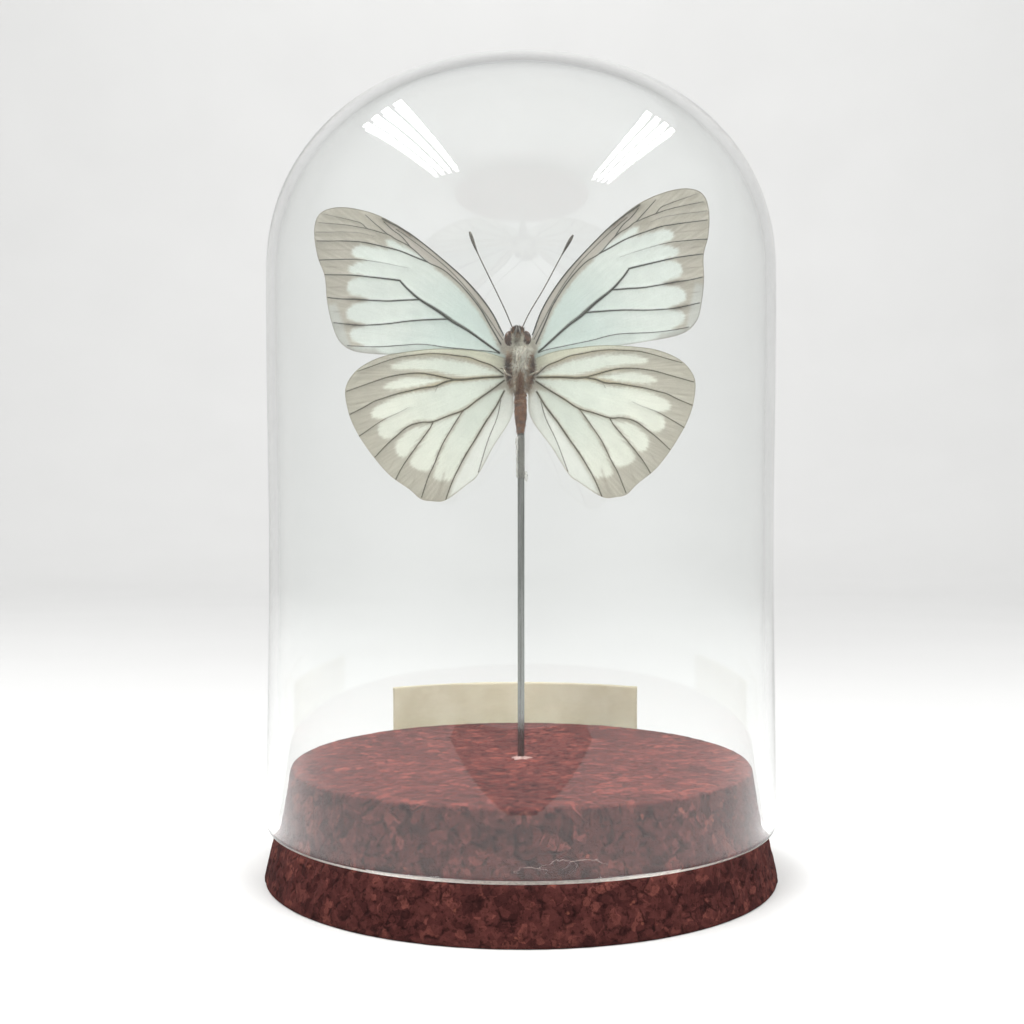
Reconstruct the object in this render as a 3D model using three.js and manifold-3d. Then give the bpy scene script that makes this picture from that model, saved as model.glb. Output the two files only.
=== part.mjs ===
// A mounted white butterfly under a glass dome on a tapered cork foot.
// Millimetres, +Z up. The origin is the centre of the cork's underside, and the
// specimen's underside faces -Y, as a visitor sees it.
import * as THREE from "three";
import { mergeVertices } from "three/addons/utils/BufferGeometryUtils.js";
import Module from "manifold-3d";

const wasm = await Module();
wasm.setup();

// Driving dimensions of the case
const cork = {
  height: 20,
  bottomRadius: 45.6,
  topRadius: 41,
  ledgeHeight: 9, // where the glass rim sits
  ledgeWidth: 0.6,
  edgeRound: 1.2,
  cornerShare: 0.3, // how far in the middle of a rounded edge lies, as a share of edgeRound
};
const dome = {
  outerRadius: 45,
  wall: 1.8,
  top: 144,
  crownHeight: 37.6, // the crown above the straight wall
  crownPower: 2.2, // 2 would be an ellipse
  rimGap: 0.3, // between the rim and the cork's ledge
};
const pin = { radius: 0.62, bottom: 9, taperStart: 78, tip: 85, tipRadius: 0.25 };
const label = { arcDegrees: 70, turnDegrees: 1.5, bottom: 12, height: 16, thickness: 0.25, gap: 0.3 };

// Driving dimensions of the specimen
const thorax = { centre: [-0.15, -0.3, 90], half: [2.25, 2.3, 3.8] };
const head = { centre: [-0.6, -0.4, 95.7], half: [1.6, 1.6, 1.7] };
const eye = { offset: 1.55, drop: 0.2, half: [0.85, 1.15, 1.35] };
const palps = { offset: 0.35, forward: 0.3, rise: 1.1, half: [0.4, 0.5, 0.9] };
const abdomen = {
  top: 86, end: 78.7, shoulder: 0.8, topRadius: 0.63, rootRadius: 1.05, waistRadius: 1, endRadius: 0.85,
};
const antenna = { radius: 0.16, clubRadius: 0.36, clubLength: 3.6, clubBehindTip: 1.44 };
const leg = { radius: 0.2 };
const glue = { top: 78.2, bottom: 70.8, radius: 0.9, lowerRadius: 0.81 };
const glueDrop = { above: 0.2, half: [0.42, 0.42, 0.84] }; // on the sleeve's right, over its lower edge
const glueFoot = { radius: 1.8, height: 0.6, kneeRadius: 1.26, kneeHeight: 0.36 };
const wing = { thickness: 0.3, veinRadius: 0.26, dihedralDegrees: 4 };
const fitGap = 0.12; // between pieces that hold each other

// Where each wing hinges on the thorax, and how far it is raised in its own plane
const hinges = {
  forewing_left: { side: -1, at: [-2.71, 1.2, 93.7], raise: 0 },
  forewing_right: { side: 1, at: [1.93, 1.2, 93.7], raise: 6.6 },
  hindwing_left: { side: -1, at: [-2.53, 0.55, 89.3], raise: 0 },
  hindwing_right: { side: 1, at: [2.14, 0.55, 89.1], raise: 3.7 },
};

// Wing outlines and main veins in the wing's own plane: [outwards, upwards] from the hinge
const forewing = {
  outline: [
    [0.5, 2.5], [2.9, 7.5], [7.1, 12.6], [12.2, 17.1], [17.6, 21.4], [23.1, 24.7], [28.3, 26.3],
    [32.3, 26.5], [34.9, 25.3], [35.7, 22.3], [35, 17.5], [33.6, 13.8], [33.1, 9.3], [32.2, 5.2],
    [30.8, 1.9], [27.7, -0.1], [20.9, -0.8], [10.2, -1.2], [0.6, -1.6],
  ],
  veins: [
    [[0.9, 1], [4.7, 7.5], [9.9, 13.3], [14.3, 16]], // radius
    [[14.3, 16], [20.3, 20.3], [25.5, 22.3], [34.8, 23.8]], // radial branch
    [[14.3, 16], [19.5, 18.1], [26.8, 19.8], [35.1, 20.3]], // first median
    [[1.1, -0.5], [7.3, 3.8], [12.8, 7.4], [19.4, 12.7]], // cubital trunk
    [[19.4, 12.7], [24.9, 13.4], [33.3, 14]], // third median
    [[15.7, 9.2], [21.6, 9], [32.7, 9.8]], // first cubital
    [[10.8, 5.6], [17.8, 5.3], [25.9, 4.6], [31.6, 5.2]], // second cubital
    [[1.3, -0.9], [11, 0.5], [16.1, 1.1], [28.8, 1]], // anal
  ],
};
const hindwing = {
  outline: [
    [0.5, 2.9], [4.9, 4.1], [12.2, 4.6], [18.8, 4], [23.2, 3.1], [26.9, 1.3], [29.1, -1.1],
    [29.7, -3.8], [28.5, -8.5], [25.8, -13.1], [21.7, -18], [17.7, -20.9], [15.7, -22.6],
    [13.7, -23], [11.1, -22.8], [7.1, -19.9], [5.3, -18.3], [2.5, -13.2], [-0.4, -7.6], [0.3, -2.9],
  ],
  veins: [
    [[1.3, 0.7], [6.9, 3], [14, 3.7], [22.1, 2.4], [27.4, 0.7]], // costal
    [[0.8, -0.5], [4.7, -0.7], [9.5, -1]], // radial stem
    [[9.5, -1], [15.9, 0.2], [22.5, -0.7], [29.1, -3]], // radial branch
    [[9.5, -1], [15.4, -2.5], [22.5, -4.3], [28.6, -7.1]], // first median
    [[0.8, -1.3], [6.7, -5.7], [13.4, -8.6], [17.2, -9.1]], // cubital trunk
    [[17.2, -9.1], [20.3, -11.3], [23.9, -14.8]], // third median
    [[13.4, -8.6], [17.2, -14.1], [20.1, -18.9]], // first cubital
    [[8, -6.6], [11.8, -12.9], [15.5, -22.2]], // second cubital
    [[0.9, -3.1], [5.8, -11.9], [11.1, -22.4]], // anal
  ],
};

// Antennae from the brow to the tip, and legs folded against the thorax, as [x, y, z]
const antennae = {
  antenna_left: [[-1.5, -0.2, 98], [-4.7, 0.1, 104.4], [-8.05, 0.3, 111.5], [-9.3, 0.3, 114.9]],
  antenna_right: [[0.2, -0.2, 98.1], [3.1, 0.1, 102.8], [7, 0.3, 110], [9.4, 0.3, 114.3]],
};
const legs = [
  [[-1.5, -1.9, 92.4], [-1.95, -2.0, 90], [-1.9, -1.6, 87.4]],
  [[-0.9, -2.3, 91.8], [-1.05, -2.5, 89.2], [-1.3, -1.8, 87]],
  [[1.2, -1.9, 92.4], [1.65, -2.0, 90], [1.6, -1.6, 87.4]],
  [[0.6, -2.3, 91.8], [0.75, -2.5, 89.2], [1, -1.8, 87]],
  [[-1.5, -1.6, 88.2], [-2.8, -1.7, 89], [-3.7, -1.5, 89.8]],
  [[1.2, -1.6, 88.4], [2.6, -1.7, 89.2], [3.6, -1.5, 90.1]],
];

// How finely round things are faceted: sides round a section, and steps along a line
const facets = {
  round: 48, crown: 10, small: 12, label: 12, thorax: 16, palp: 8, drop: 10, club: 8,
  legSides: 5, legSteps: 3, antennaSides: 6, antennaSteps: 6, veinSides: 4, wingEdge: 2,
};
const ringsPerSide = 0.7; // rings of an ellipsoid for each side round it
const mergeDistance = 1e-4;

// Materials
const glassMaterial = new THREE.MeshStandardMaterial({
  color: 0xeef2f1, roughness: 0.03, metalness: 0, transparent: true, opacity: 0.3,
});
const corkMaterial = new THREE.MeshStandardMaterial({ color: 0x6e2f2a, roughness: 0.85, metalness: 0 });
const steelMaterial = new THREE.MeshStandardMaterial({ color: 0x9a9c99, roughness: 0.25, metalness: 1 });
const paperMaterial = new THREE.MeshStandardMaterial({ color: 0xd2cdb8, roughness: 0.9, metalness: 0 });
const glueMaterial = new THREE.MeshStandardMaterial({ color: 0xd8d8cc, roughness: 0.2, metalness: 0 });
const wingMaterial = new THREE.MeshStandardMaterial({ color: 0xd5dcd0, roughness: 0.8, metalness: 0 });
const furMaterial = new THREE.MeshStandardMaterial({ color: 0x8f8d80, roughness: 0.95, metalness: 0 });
const abdomenMaterial = new THREE.MeshStandardMaterial({ color: 0x6b4a38, roughness: 0.8, metalness: 0 });
const eyeMaterial = new THREE.MeshStandardMaterial({ color: 0x2e2520, roughness: 0.3, metalness: 0 });
const antennaMaterial = new THREE.MeshStandardMaterial({ color: 0x3d3b34, roughness: 0.7, metalness: 0 });

// A geometry as a solid, ready to be joined or cut
function solidOf(geometry) {
  const bare = new THREE.BufferGeometry();
  bare.setAttribute("position", geometry.getAttribute("position"));
  bare.setIndex(geometry.index);
  const merged = mergeVertices(bare, mergeDistance);
  return new wasm.Manifold(
    new wasm.Mesh({
      numProp: 3,
      vertProperties: merged.getAttribute("position").array,
      triVerts: new Uint32Array(merged.index.array),
    }),
  );
}

function geometryOf(solid) {
  const mesh = solid.getMesh();
  const geometry = new THREE.BufferGeometry();
  geometry.setAttribute("position", new THREE.BufferAttribute(mesh.vertProperties, 3));
  geometry.setIndex(new THREE.BufferAttribute(mesh.triVerts, 1));
  geometry.computeVertexNormals();
  return geometry;
}

function joined(geometries) {
  const solids = geometries.map(solidOf);
  return geometryOf(solids.reduce((sum, solid) => sum.add(solid)));
}

function cutBy(geometry, cutters) {
  const cut = cutters.map(solidOf).reduce((rest, cutter) => rest.subtract(cutter), solidOf(geometry));
  return geometryOf(cut);
}

// A turned form about +Z from [radius, height] pairs
function turned(profile, sides) {
  const points = profile.map(([radius, height]) => new THREE.Vector2(radius, height));
  return new THREE.LatheGeometry(points, sides).rotateX(Math.PI / 2);
}

function ellipsoid(centre, half, sides = facets.small) {
  return new THREE.SphereGeometry(1, sides, Math.round(sides * ringsPerSide))
    .rotateX(Math.PI / 2)
    .scale(...half)
    .translate(...centre);
}

// A round bar along a smooth line through points
function bar(points, radius, sides, steps) {
  const section = new THREE.Shape();
  for (let i = 0; i < sides; i += 1) {
    const angle = (2 * Math.PI * i) / sides;
    const corner = [radius * Math.cos(angle), radius * Math.sin(angle)];
    if (i === 0) section.moveTo(...corner);
    else section.lineTo(...corner);
  }
  section.closePath();
  const line = new THREE.CatmullRomCurve3(points.map((p) => new THREE.Vector3(...p)));
  return new THREE.ExtrudeGeometry(section, { steps, extrudePath: line, bevelEnabled: false });
}

// The cork foot: a tapered plug with a narrow ledge for the glass and a hole for the pin
function corkGeometry() {
  const { height, bottomRadius, topRadius, ledgeHeight, ledgeWidth, edgeRound, cornerShare } = cork;
  const radiusAt = (z) => bottomRadius + ((topRadius - bottomRadius) * z) / height;
  const corner = cornerShare * edgeRound;
  const hole = pin.radius + fitGap;
  const profile = [
    [0, 0],
    [bottomRadius - edgeRound, 0],
    [radiusAt(corner) - corner, corner],
    [radiusAt(edgeRound), edgeRound],
    [radiusAt(ledgeHeight), ledgeHeight],
    [radiusAt(ledgeHeight) - ledgeWidth, ledgeHeight],
    [radiusAt(height - edgeRound), height - edgeRound],
    [radiusAt(height) - corner, height - corner],
    [radiusAt(height) - edgeRound, height],
    [hole, height],
    [hole, pin.bottom - fitGap],
    [0, pin.bottom - fitGap],
  ];
  return turned(profile, facets.round);
}

// The glass: a straight wall with a rounded rim, closed by a crown
function domeGeometry() {
  const { outerRadius, wall, top, crownHeight, crownPower, rimGap } = dome;
  const shoulder = top - crownHeight;
  const rim = cork.ledgeHeight + rimGap;
  const roundRim = wall / 4;
  const crown = (radius, height) =>
    Array.from({ length: facets.crown + 1 }, (_, i) => {
      const angle = (Math.PI / 2) * (i / facets.crown);
      const across = radius * Math.cos(angle) ** (2 / crownPower);
      const up = height * Math.sin(angle) ** (2 / crownPower);
      return [i === facets.crown ? 0 : across, shoulder + up];
    });
  const inner = crown(outerRadius - wall, crownHeight - wall).reverse();
  const rimProfile = [
    [outerRadius - wall, rim + roundRim],
    [outerRadius - wall + roundRim, rim],
    [outerRadius - roundRim, rim],
    [outerRadius, rim + roundRim],
  ];
  return turned([...inner, ...rimProfile, ...crown(outerRadius, crownHeight)], facets.round);
}

function pinGeometry() {
  const { radius, bottom, taperStart, tip, tipRadius } = pin;
  const profile = [[0, bottom], [radius, bottom], [radius, taperStart], [tipRadius, tip], [0, tip]];
  return turned(profile, facets.small);
}

// The paper slip, bent round the back of the glass
function labelGeometry() {
  const inner = dome.outerRadius + label.gap;
  const outer = inner + label.thickness;
  const half = THREE.MathUtils.degToRad(label.arcDegrees) / 2;
  const middle = Math.PI / 2 + THREE.MathUtils.degToRad(label.turnDegrees);
  const strip = new THREE.Shape();
  strip.absarc(0, 0, outer, middle - half, middle + half, false);
  strip.absarc(0, 0, inner, middle + half, middle - half, true);
  strip.closePath();
  return new THREE.ExtrudeGeometry(strip, {
    depth: label.height, bevelEnabled: false, curveSegments: facets.label,
  }).translate(0, 0, label.bottom);
}

// The abdomen, slipped over the pin's sharpened end
function abdomenGeometry() {
  const { top, end, shoulder, topRadius, rootRadius, waistRadius, endRadius } = abdomen;
  const middle = (top + end) / 2;
  const { taperStart, tip, tipRadius, radius } = pin;
  const boreAt = (z) => radius + ((tipRadius - radius) * (z - taperStart)) / (tip - taperStart) + fitGap;
  const boreTop = tip + fitGap;
  const profile = [
    [boreAt(end), end],
    [endRadius, end],
    [waistRadius, middle],
    [rootRadius, top - shoulder],
    [topRadius, top],
    [0, top],
    [0, boreTop],
    [boreAt(boreTop), boreTop],
    [boreAt(end), end],
  ];
  return turned(profile, facets.small);
}

function eyeCentre(side) {
  const [x, y, z] = head.centre;
  return [x + side * eye.offset, y, z - eye.drop];
}

// The head with its two palps, hollowed a little where the eyes sit
function headGeometry() {
  const [x, y, z] = head.centre;
  const palpCentre = (side) => [x + side * palps.offset, y - palps.forward, z + palps.rise];
  const palp = (side) => ellipsoid(palpCentre(side), palps.half, facets.palp);
  const socket = (side) => ellipsoid(eyeCentre(side), eye.half.map((h) => h + fitGap));
  const skull = joined([ellipsoid(head.centre, head.half), palp(-1), palp(1)]);
  return cutBy(skull, [socket(-1), socket(1)]);
}

// The thorax with its folded legs
function thoraxGeometry() {
  const limbs = legs.map((points) => bar(points, leg.radius, facets.legSides, facets.legSteps));
  return joined([ellipsoid(thorax.centre, thorax.half, facets.thorax), ...limbs]);
}

// A thin stem that thickens into a club at the tip
function antennaGeometry(points) {
  const stem = bar(points, antenna.radius, facets.antennaSides, facets.antennaSteps);
  const [last, before] = [points.at(-1), points.at(-2)].map((p) => new THREE.Vector3(...p));
  const along = last.clone().sub(before).normalize();
  const club = new THREE.SphereGeometry(1, facets.club, facets.club)
    .scale(antenna.clubRadius, antenna.clubLength / 2, antenna.clubRadius)
    .applyQuaternion(new THREE.Quaternion().setFromUnitVectors(new THREE.Vector3(0, 1, 0), along))
    .translate(...last.addScaledVector(along, -antenna.clubBehindTip).toArray());
  return joined([stem, club]);
}

// Dried glue on the pin: a thin sleeve with one drop at its lower edge
function glueGeometry() {
  const { top, bottom, radius, lowerRadius } = glue;
  const bore = pin.radius + fitGap;
  const sleeve = [[0, bottom], [lowerRadius, bottom], [radius, (top + bottom) / 2], [radius, top], [0, top]];
  const drop = ellipsoid([radius, 0, bottom + glueDrop.above], glueDrop.half, facets.drop);
  const solid = joined([turned(sleeve, facets.small), drop]);
  const below = bottom - 2 * radius;
  const above = top + 2 * radius;
  const rodSpace = [[0, below], [bore, below], [bore, above], [0, above]];
  return cutBy(solid, [turned(rodSpace, facets.small)]);
}

// A low crust of glue round the pin, on top of the cork
function glueFootGeometry() {
  const { radius, height, kneeRadius, kneeHeight } = glueFoot;
  const bore = pin.radius + fitGap;
  const bottom = cork.height + fitGap;
  const profile = [
    [bore, bottom],
    [radius, bottom],
    [kneeRadius, bottom + kneeHeight],
    [bore, bottom + height],
    [bore, bottom],
  ];
  return turned(profile, facets.small);
}

// A wing: a thin plate with its main veins standing proud on both faces
function wingGeometry({ outline, veins }) {
  const shape = new THREE.Shape();
  const [first, ...others] = outline.map((p) => new THREE.Vector2(...p));
  shape.moveTo(first.x, first.y);
  shape.splineThru(others);
  shape.closePath();
  const plate = new THREE.ExtrudeGeometry(shape, {
    depth: wing.thickness, bevelEnabled: false, curveSegments: facets.wingEdge,
  }).translate(0, 0, -wing.thickness / 2).rotateX(Math.PI / 2);
  const ribs = veins.map((vein) =>
    bar(vein.map(([out, up]) => [out, 0, up]), wing.veinRadius, facets.veinSides, vein.length));
  return joined([plate, ...ribs]);
}

function wingMesh(name, geometry) {
  const { side, at, raise } = hinges[name];
  const mesh = new THREE.Mesh(geometry, wingMaterial);
  mesh.name = name;
  mesh.rotation.order = "ZYX";
  mesh.rotation.y = -THREE.MathUtils.degToRad(raise);
  mesh.rotation.z = THREE.MathUtils.degToRad(wing.dihedralDegrees);
  const hinge = new THREE.Group();
  hinge.position.set(...at);
  hinge.scale.x = side; // a left wing mirrors the right one
  hinge.add(mesh);
  return hinge;
}

function piece(name, geometry, material) {
  const mesh = new THREE.Mesh(geometry, material);
  mesh.name = name;
  return mesh;
}

const displayCase = new THREE.Group();
displayCase.add(
  piece("cork_base", corkGeometry(), corkMaterial),
  piece("glass_dome", domeGeometry(), glassMaterial),
  piece("label", labelGeometry(), paperMaterial),
  piece("pin", pinGeometry(), steelMaterial),
  piece("glue", glueGeometry(), glueMaterial),
  piece("glue_foot", glueFootGeometry(), glueMaterial),
);

const butterfly = new THREE.Group();
const forewingGeometry = wingGeometry(forewing);
const hindwingGeometry = wingGeometry(hindwing);
butterfly.add(
  piece("thorax", thoraxGeometry(), furMaterial),
  piece("abdomen", abdomenGeometry(), abdomenMaterial),
  piece("head", headGeometry(), furMaterial),
  piece("eye_left", ellipsoid(eyeCentre(-1), eye.half), eyeMaterial),
  piece("eye_right", ellipsoid(eyeCentre(1), eye.half), eyeMaterial),
  ...Object.entries(antennae).map(([name, points]) => piece(name, antennaGeometry(points), antennaMaterial)),
  wingMesh("forewing_left", forewingGeometry),
  wingMesh("forewing_right", forewingGeometry),
  wingMesh("hindwing_left", hindwingGeometry),
  wingMesh("hindwing_right", hindwingGeometry),
);

const specimenInDome = new THREE.Group();
specimenInDome.add(displayCase, butterfly);

export default specimenInDome;
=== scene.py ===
import math
import bmesh
import bpy
import numpy as np
from mathutils import Matrix, Vector, noise
from mathutils.geometry import delaunay_2d_cdt


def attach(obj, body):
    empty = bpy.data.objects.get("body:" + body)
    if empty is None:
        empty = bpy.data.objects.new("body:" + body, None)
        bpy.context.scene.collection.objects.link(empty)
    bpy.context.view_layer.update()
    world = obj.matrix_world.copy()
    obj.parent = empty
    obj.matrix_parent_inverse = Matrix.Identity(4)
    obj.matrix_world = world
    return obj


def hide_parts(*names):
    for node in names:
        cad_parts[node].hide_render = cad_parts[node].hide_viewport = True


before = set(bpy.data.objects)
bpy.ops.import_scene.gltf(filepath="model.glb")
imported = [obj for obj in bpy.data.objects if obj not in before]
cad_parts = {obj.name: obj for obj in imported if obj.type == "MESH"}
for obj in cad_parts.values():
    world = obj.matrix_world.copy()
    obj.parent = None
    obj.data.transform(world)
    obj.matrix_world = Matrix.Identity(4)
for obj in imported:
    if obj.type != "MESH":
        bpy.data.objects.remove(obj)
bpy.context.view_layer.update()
mm = 0.001  # every size below is in millimetres, and meshes are stored in metres


# Small helpers

def linear(red, green, blue):
    def channel(value):
        value /= 255
        return value / 12.92 if value <= 0.04045 else ((value + 0.055) / 1.055) ** 2.4
    return (channel(red), channel(green), channel(blue), 1.0)


def smoothStep(low, high, value):
    t = np.clip((value - low) / (high - low), 0, 1)
    return t * t * (3 - 2 * t)


def bell(value, width):
    return np.exp(-((value / width) ** 2))


def addNode(tree, kind, inputs=None, **settings):
    node = tree.nodes.new(kind)
    for key, value in settings.items():
        setattr(node, key, value)
    for key, value in (inputs or {}).items():
        if isinstance(value, bpy.types.NodeSocket):
            tree.links.new(value, node.inputs[key])
        else:
            node.inputs[key].default_value = value
    return node


def linked(name, data):
    piece = bpy.data.objects.new(name, data)
    bpy.context.scene.collection.objects.link(piece)
    return piece


def meshObject(name, verts, faces, material, attributes=None):
    mesh = bpy.data.meshes.new(name)
    mesh.from_pydata([tuple(v) for v in np.asarray(verts) * mm], [], faces)
    mesh.polygons.foreach_set("use_smooth", [True] * len(mesh.polygons))
    for key, values in (attributes or {}).items():
        layer = mesh.attributes.new(key, "FLOAT", "POINT")
        layer.data.foreach_set("value", np.asarray(values, np.float32))
    mesh.materials.append(material)
    mesh.update()
    return linked(name, mesh)


def settle(piece, slot, *nodes):
    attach(piece, "root")
    if nodes:
        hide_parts(*nodes)
    return piece


def plainMesh(piece):
    # the evaluated result becomes an ordinary mesh, and the modifier goes
    graph = bpy.context.evaluated_depsgraph_get()
    made = bpy.data.meshes.new_from_object(piece.evaluated_get(graph))
    piece.modifiers.clear()
    old = piece.data
    piece.data = made
    bpy.data.meshes.remove(old)
    return piece


def turned(profile, sides, closed=False):
    # rings about +Z; a point on the axis becomes one vertex
    verts, rings, faces = [], [], []
    angles = np.arange(sides) * 2 * math.pi / sides
    for radius, height in profile:
        if radius == 0:
            rings.append([len(verts)] * sides)
            verts.append((0, 0, height))
        else:
            rings.append(list(range(len(verts), len(verts) + sides)))
            verts.extend((radius * math.cos(a), radius * math.sin(a), height) for a in angles)
    pairs = list(zip(rings, rings[1:] + rings[:1])) if closed else list(zip(rings, rings[1:]))
    for lower, upper in pairs:
        for i in range(sides):
            j = (i + 1) % sides
            corners = [lower[i], lower[j], upper[j], upper[i]]
            faces.append(list(dict.fromkeys(corners)))
    return np.array(verts, float), faces


def unitBall(sides, rings):
    profile = [(math.sin(s), -math.cos(s)) for s in np.linspace(0, math.pi, rings)]
    profile[0], profile[-1] = (0, -1), (0, 1)
    return turned(profile, sides)


def smoothLine(points, step, closed=False):
    # a Catmull-Rom line through points, sampled about every step
    p = np.array(points, float)
    count = len(p)
    if closed:
        before, after = np.roll(p, 1, 0), np.roll(p, -2, 0)
        starts, ends = p, np.roll(p, -1, 0)
    else:
        ends, starts = p[1:], p[:-1]
        before = np.vstack([2 * p[0] - p[1], p[:-2]]) if count > 2 else 2 * p[:1] - p[1:2]
        after = np.vstack([p[2:], 2 * p[-1] - p[-2]]) if count > 2 else 2 * p[1:2] - p[:1]
    line = []
    for a, b, c, d in zip(before, starts, ends, after):
        pieces = max(1, int(round(np.linalg.norm(c - b) / step)))
        t = (np.arange(pieces) / pieces)[:, None]
        line.append(0.5 * (2 * b + (c - a) * t + (2 * a - 5 * b + 4 * c - d) * t**2
                           + (3 * b - a - 3 * c + d) * t**3))
    if not closed:
        line.append(p[-1:])
    return np.vstack(line)


def lineDistance(points, line):
    # distance from each point to a line, and how far along it (0 to 1) the nearest place is
    lengths = np.linalg.norm(np.diff(line, axis=0), axis=1)
    total = lengths.sum()
    best = np.full(len(points), np.inf)
    along = np.zeros(len(points))
    passed = 0.0
    for a, b, length in zip(line[:-1], line[1:], lengths):
        t = np.clip(((points - a) @ (b - a)) / max(length**2, 1e-12), 0, 1)
        d = np.linalg.norm(points - (a + t[:, None] * (b - a)), axis=1)
        nearer = d < best
        best[nearer] = d[nearer]
        along[nearer] = ((passed + t * length) / total)[nearer]
        passed += length
    return best, along


def insideDistance(points, outline):
    # distance to a closed outline, positive inside
    ring = np.vstack([outline, outline[:1]])
    distance, _ = lineDistance(points, ring)
    inside = np.zeros(len(points), bool)
    for a, b in zip(ring[:-1], ring[1:]):
        crosses = (a[1] > points[:, 1]) != (b[1] > points[:, 1])
        rise = b[1] - a[1] if b[1] != a[1] else 1e-12
        inside ^= crosses & (points[:, 0] < (b[0] - a[0]) * (points[:, 1] - a[1]) / rise + a[0])
    return np.where(inside, distance, -distance)


def noiseAt(points, scale, seed=0.0):
    return np.array([noise.noise(Vector(p) * scale + Vector((seed, seed, seed))) for p in points])


# Materials: each reads Object coordinates (metres) or the piece's own attributes

def newMaterial(name, inputs=None):
    material = bpy.data.materials.new(name)
    material.use_nodes = True
    tree = material.node_tree
    tree.nodes.clear()
    output = addNode(tree, "ShaderNodeOutputMaterial")
    shader = addNode(tree, "ShaderNodeBsdfPrincipled", inputs)
    tree.links.new(shader.outputs[0], output.inputs["Surface"])
    return material, tree, shader, output


def objectCoords(tree):
    return addNode(tree, "ShaderNodeTexCoord").outputs["Object"]


def attribute(tree, name):
    return addNode(tree, "ShaderNodeAttribute", attribute_name=name).outputs["Fac"]


def mixColour(tree, factor, first, second, blend="MIX"):
    node = addNode(tree, "ShaderNodeMix", data_type="RGBA", blend_type=blend)
    for index, value in ((0, factor), (6, first), (7, second)):
        if isinstance(value, bpy.types.NodeSocket):
            tree.links.new(value, node.inputs[index])
        else:
            node.inputs[index].default_value = value
    return node.outputs[2]


def ramp(tree, factor, stops):
    node = addNode(tree, "ShaderNodeValToRGB", {"Fac": factor})
    while len(node.color_ramp.elements) < len(stops):
        node.color_ramp.elements.new(0.5)
    for element, (place, colour) in zip(node.color_ramp.elements, stops):
        element.position = place
        element.color = colour if len(colour) == 4 else (*colour, 1)
    return node.outputs["Color"]


def noiseTexture(tree, coords, scale, detail=4.0, roughness=0.6):
    node = addNode(tree, "ShaderNodeTexNoise",
                   {"Vector": coords, "Scale": scale, "Detail": detail, "Roughness": roughness})
    return node.outputs["Fac"]


def spots(tree, coords, scale, detail, low, high):
    # black where the noise is below low, white where it is above high
    return ramp(tree, noiseTexture(tree, coords, scale, detail), [(low, (0, 0, 0)), (high, (1, 1, 1))])


def bump(tree, shader, height, strength, distance):
    node = addNode(tree, "ShaderNodeBump", {"Height": height, "Strength": strength, "Distance": distance})
    tree.links.new(node.outputs["Normal"], shader.inputs["Normal"])


def mathNode(tree, operation, first, second):
    return addNode(tree, "ShaderNodeMath", {0: first, 1: second}, operation=operation).outputs[0]


def letThrough(tree, shader, output, colour, amount):
    # light from behind shows through a thin sheet
    glow = addNode(tree, "ShaderNodeBsdfTranslucent", {"Color": colour})
    mix = addNode(tree, "ShaderNodeMixShader", {0: amount, 1: shader.outputs[0], 2: glow.outputs[0]})
    tree.links.new(mix.outputs[0], output.inputs["Surface"])


def glassMaterial():
    material, tree, shader, _ = newMaterial("clearGlass", {
        "Base Color": (0.985, 0.995, 0.99, 1), "Transmission Weight": 1, "IOR": 1.5, "Roughness": 0.0})
    ripple = noiseTexture(tree, objectCoords(tree), 22, 1.0)
    bump(tree, shader, ripple, 0.06, 0.001)  # drawn-glass ripple
    return material


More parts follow.
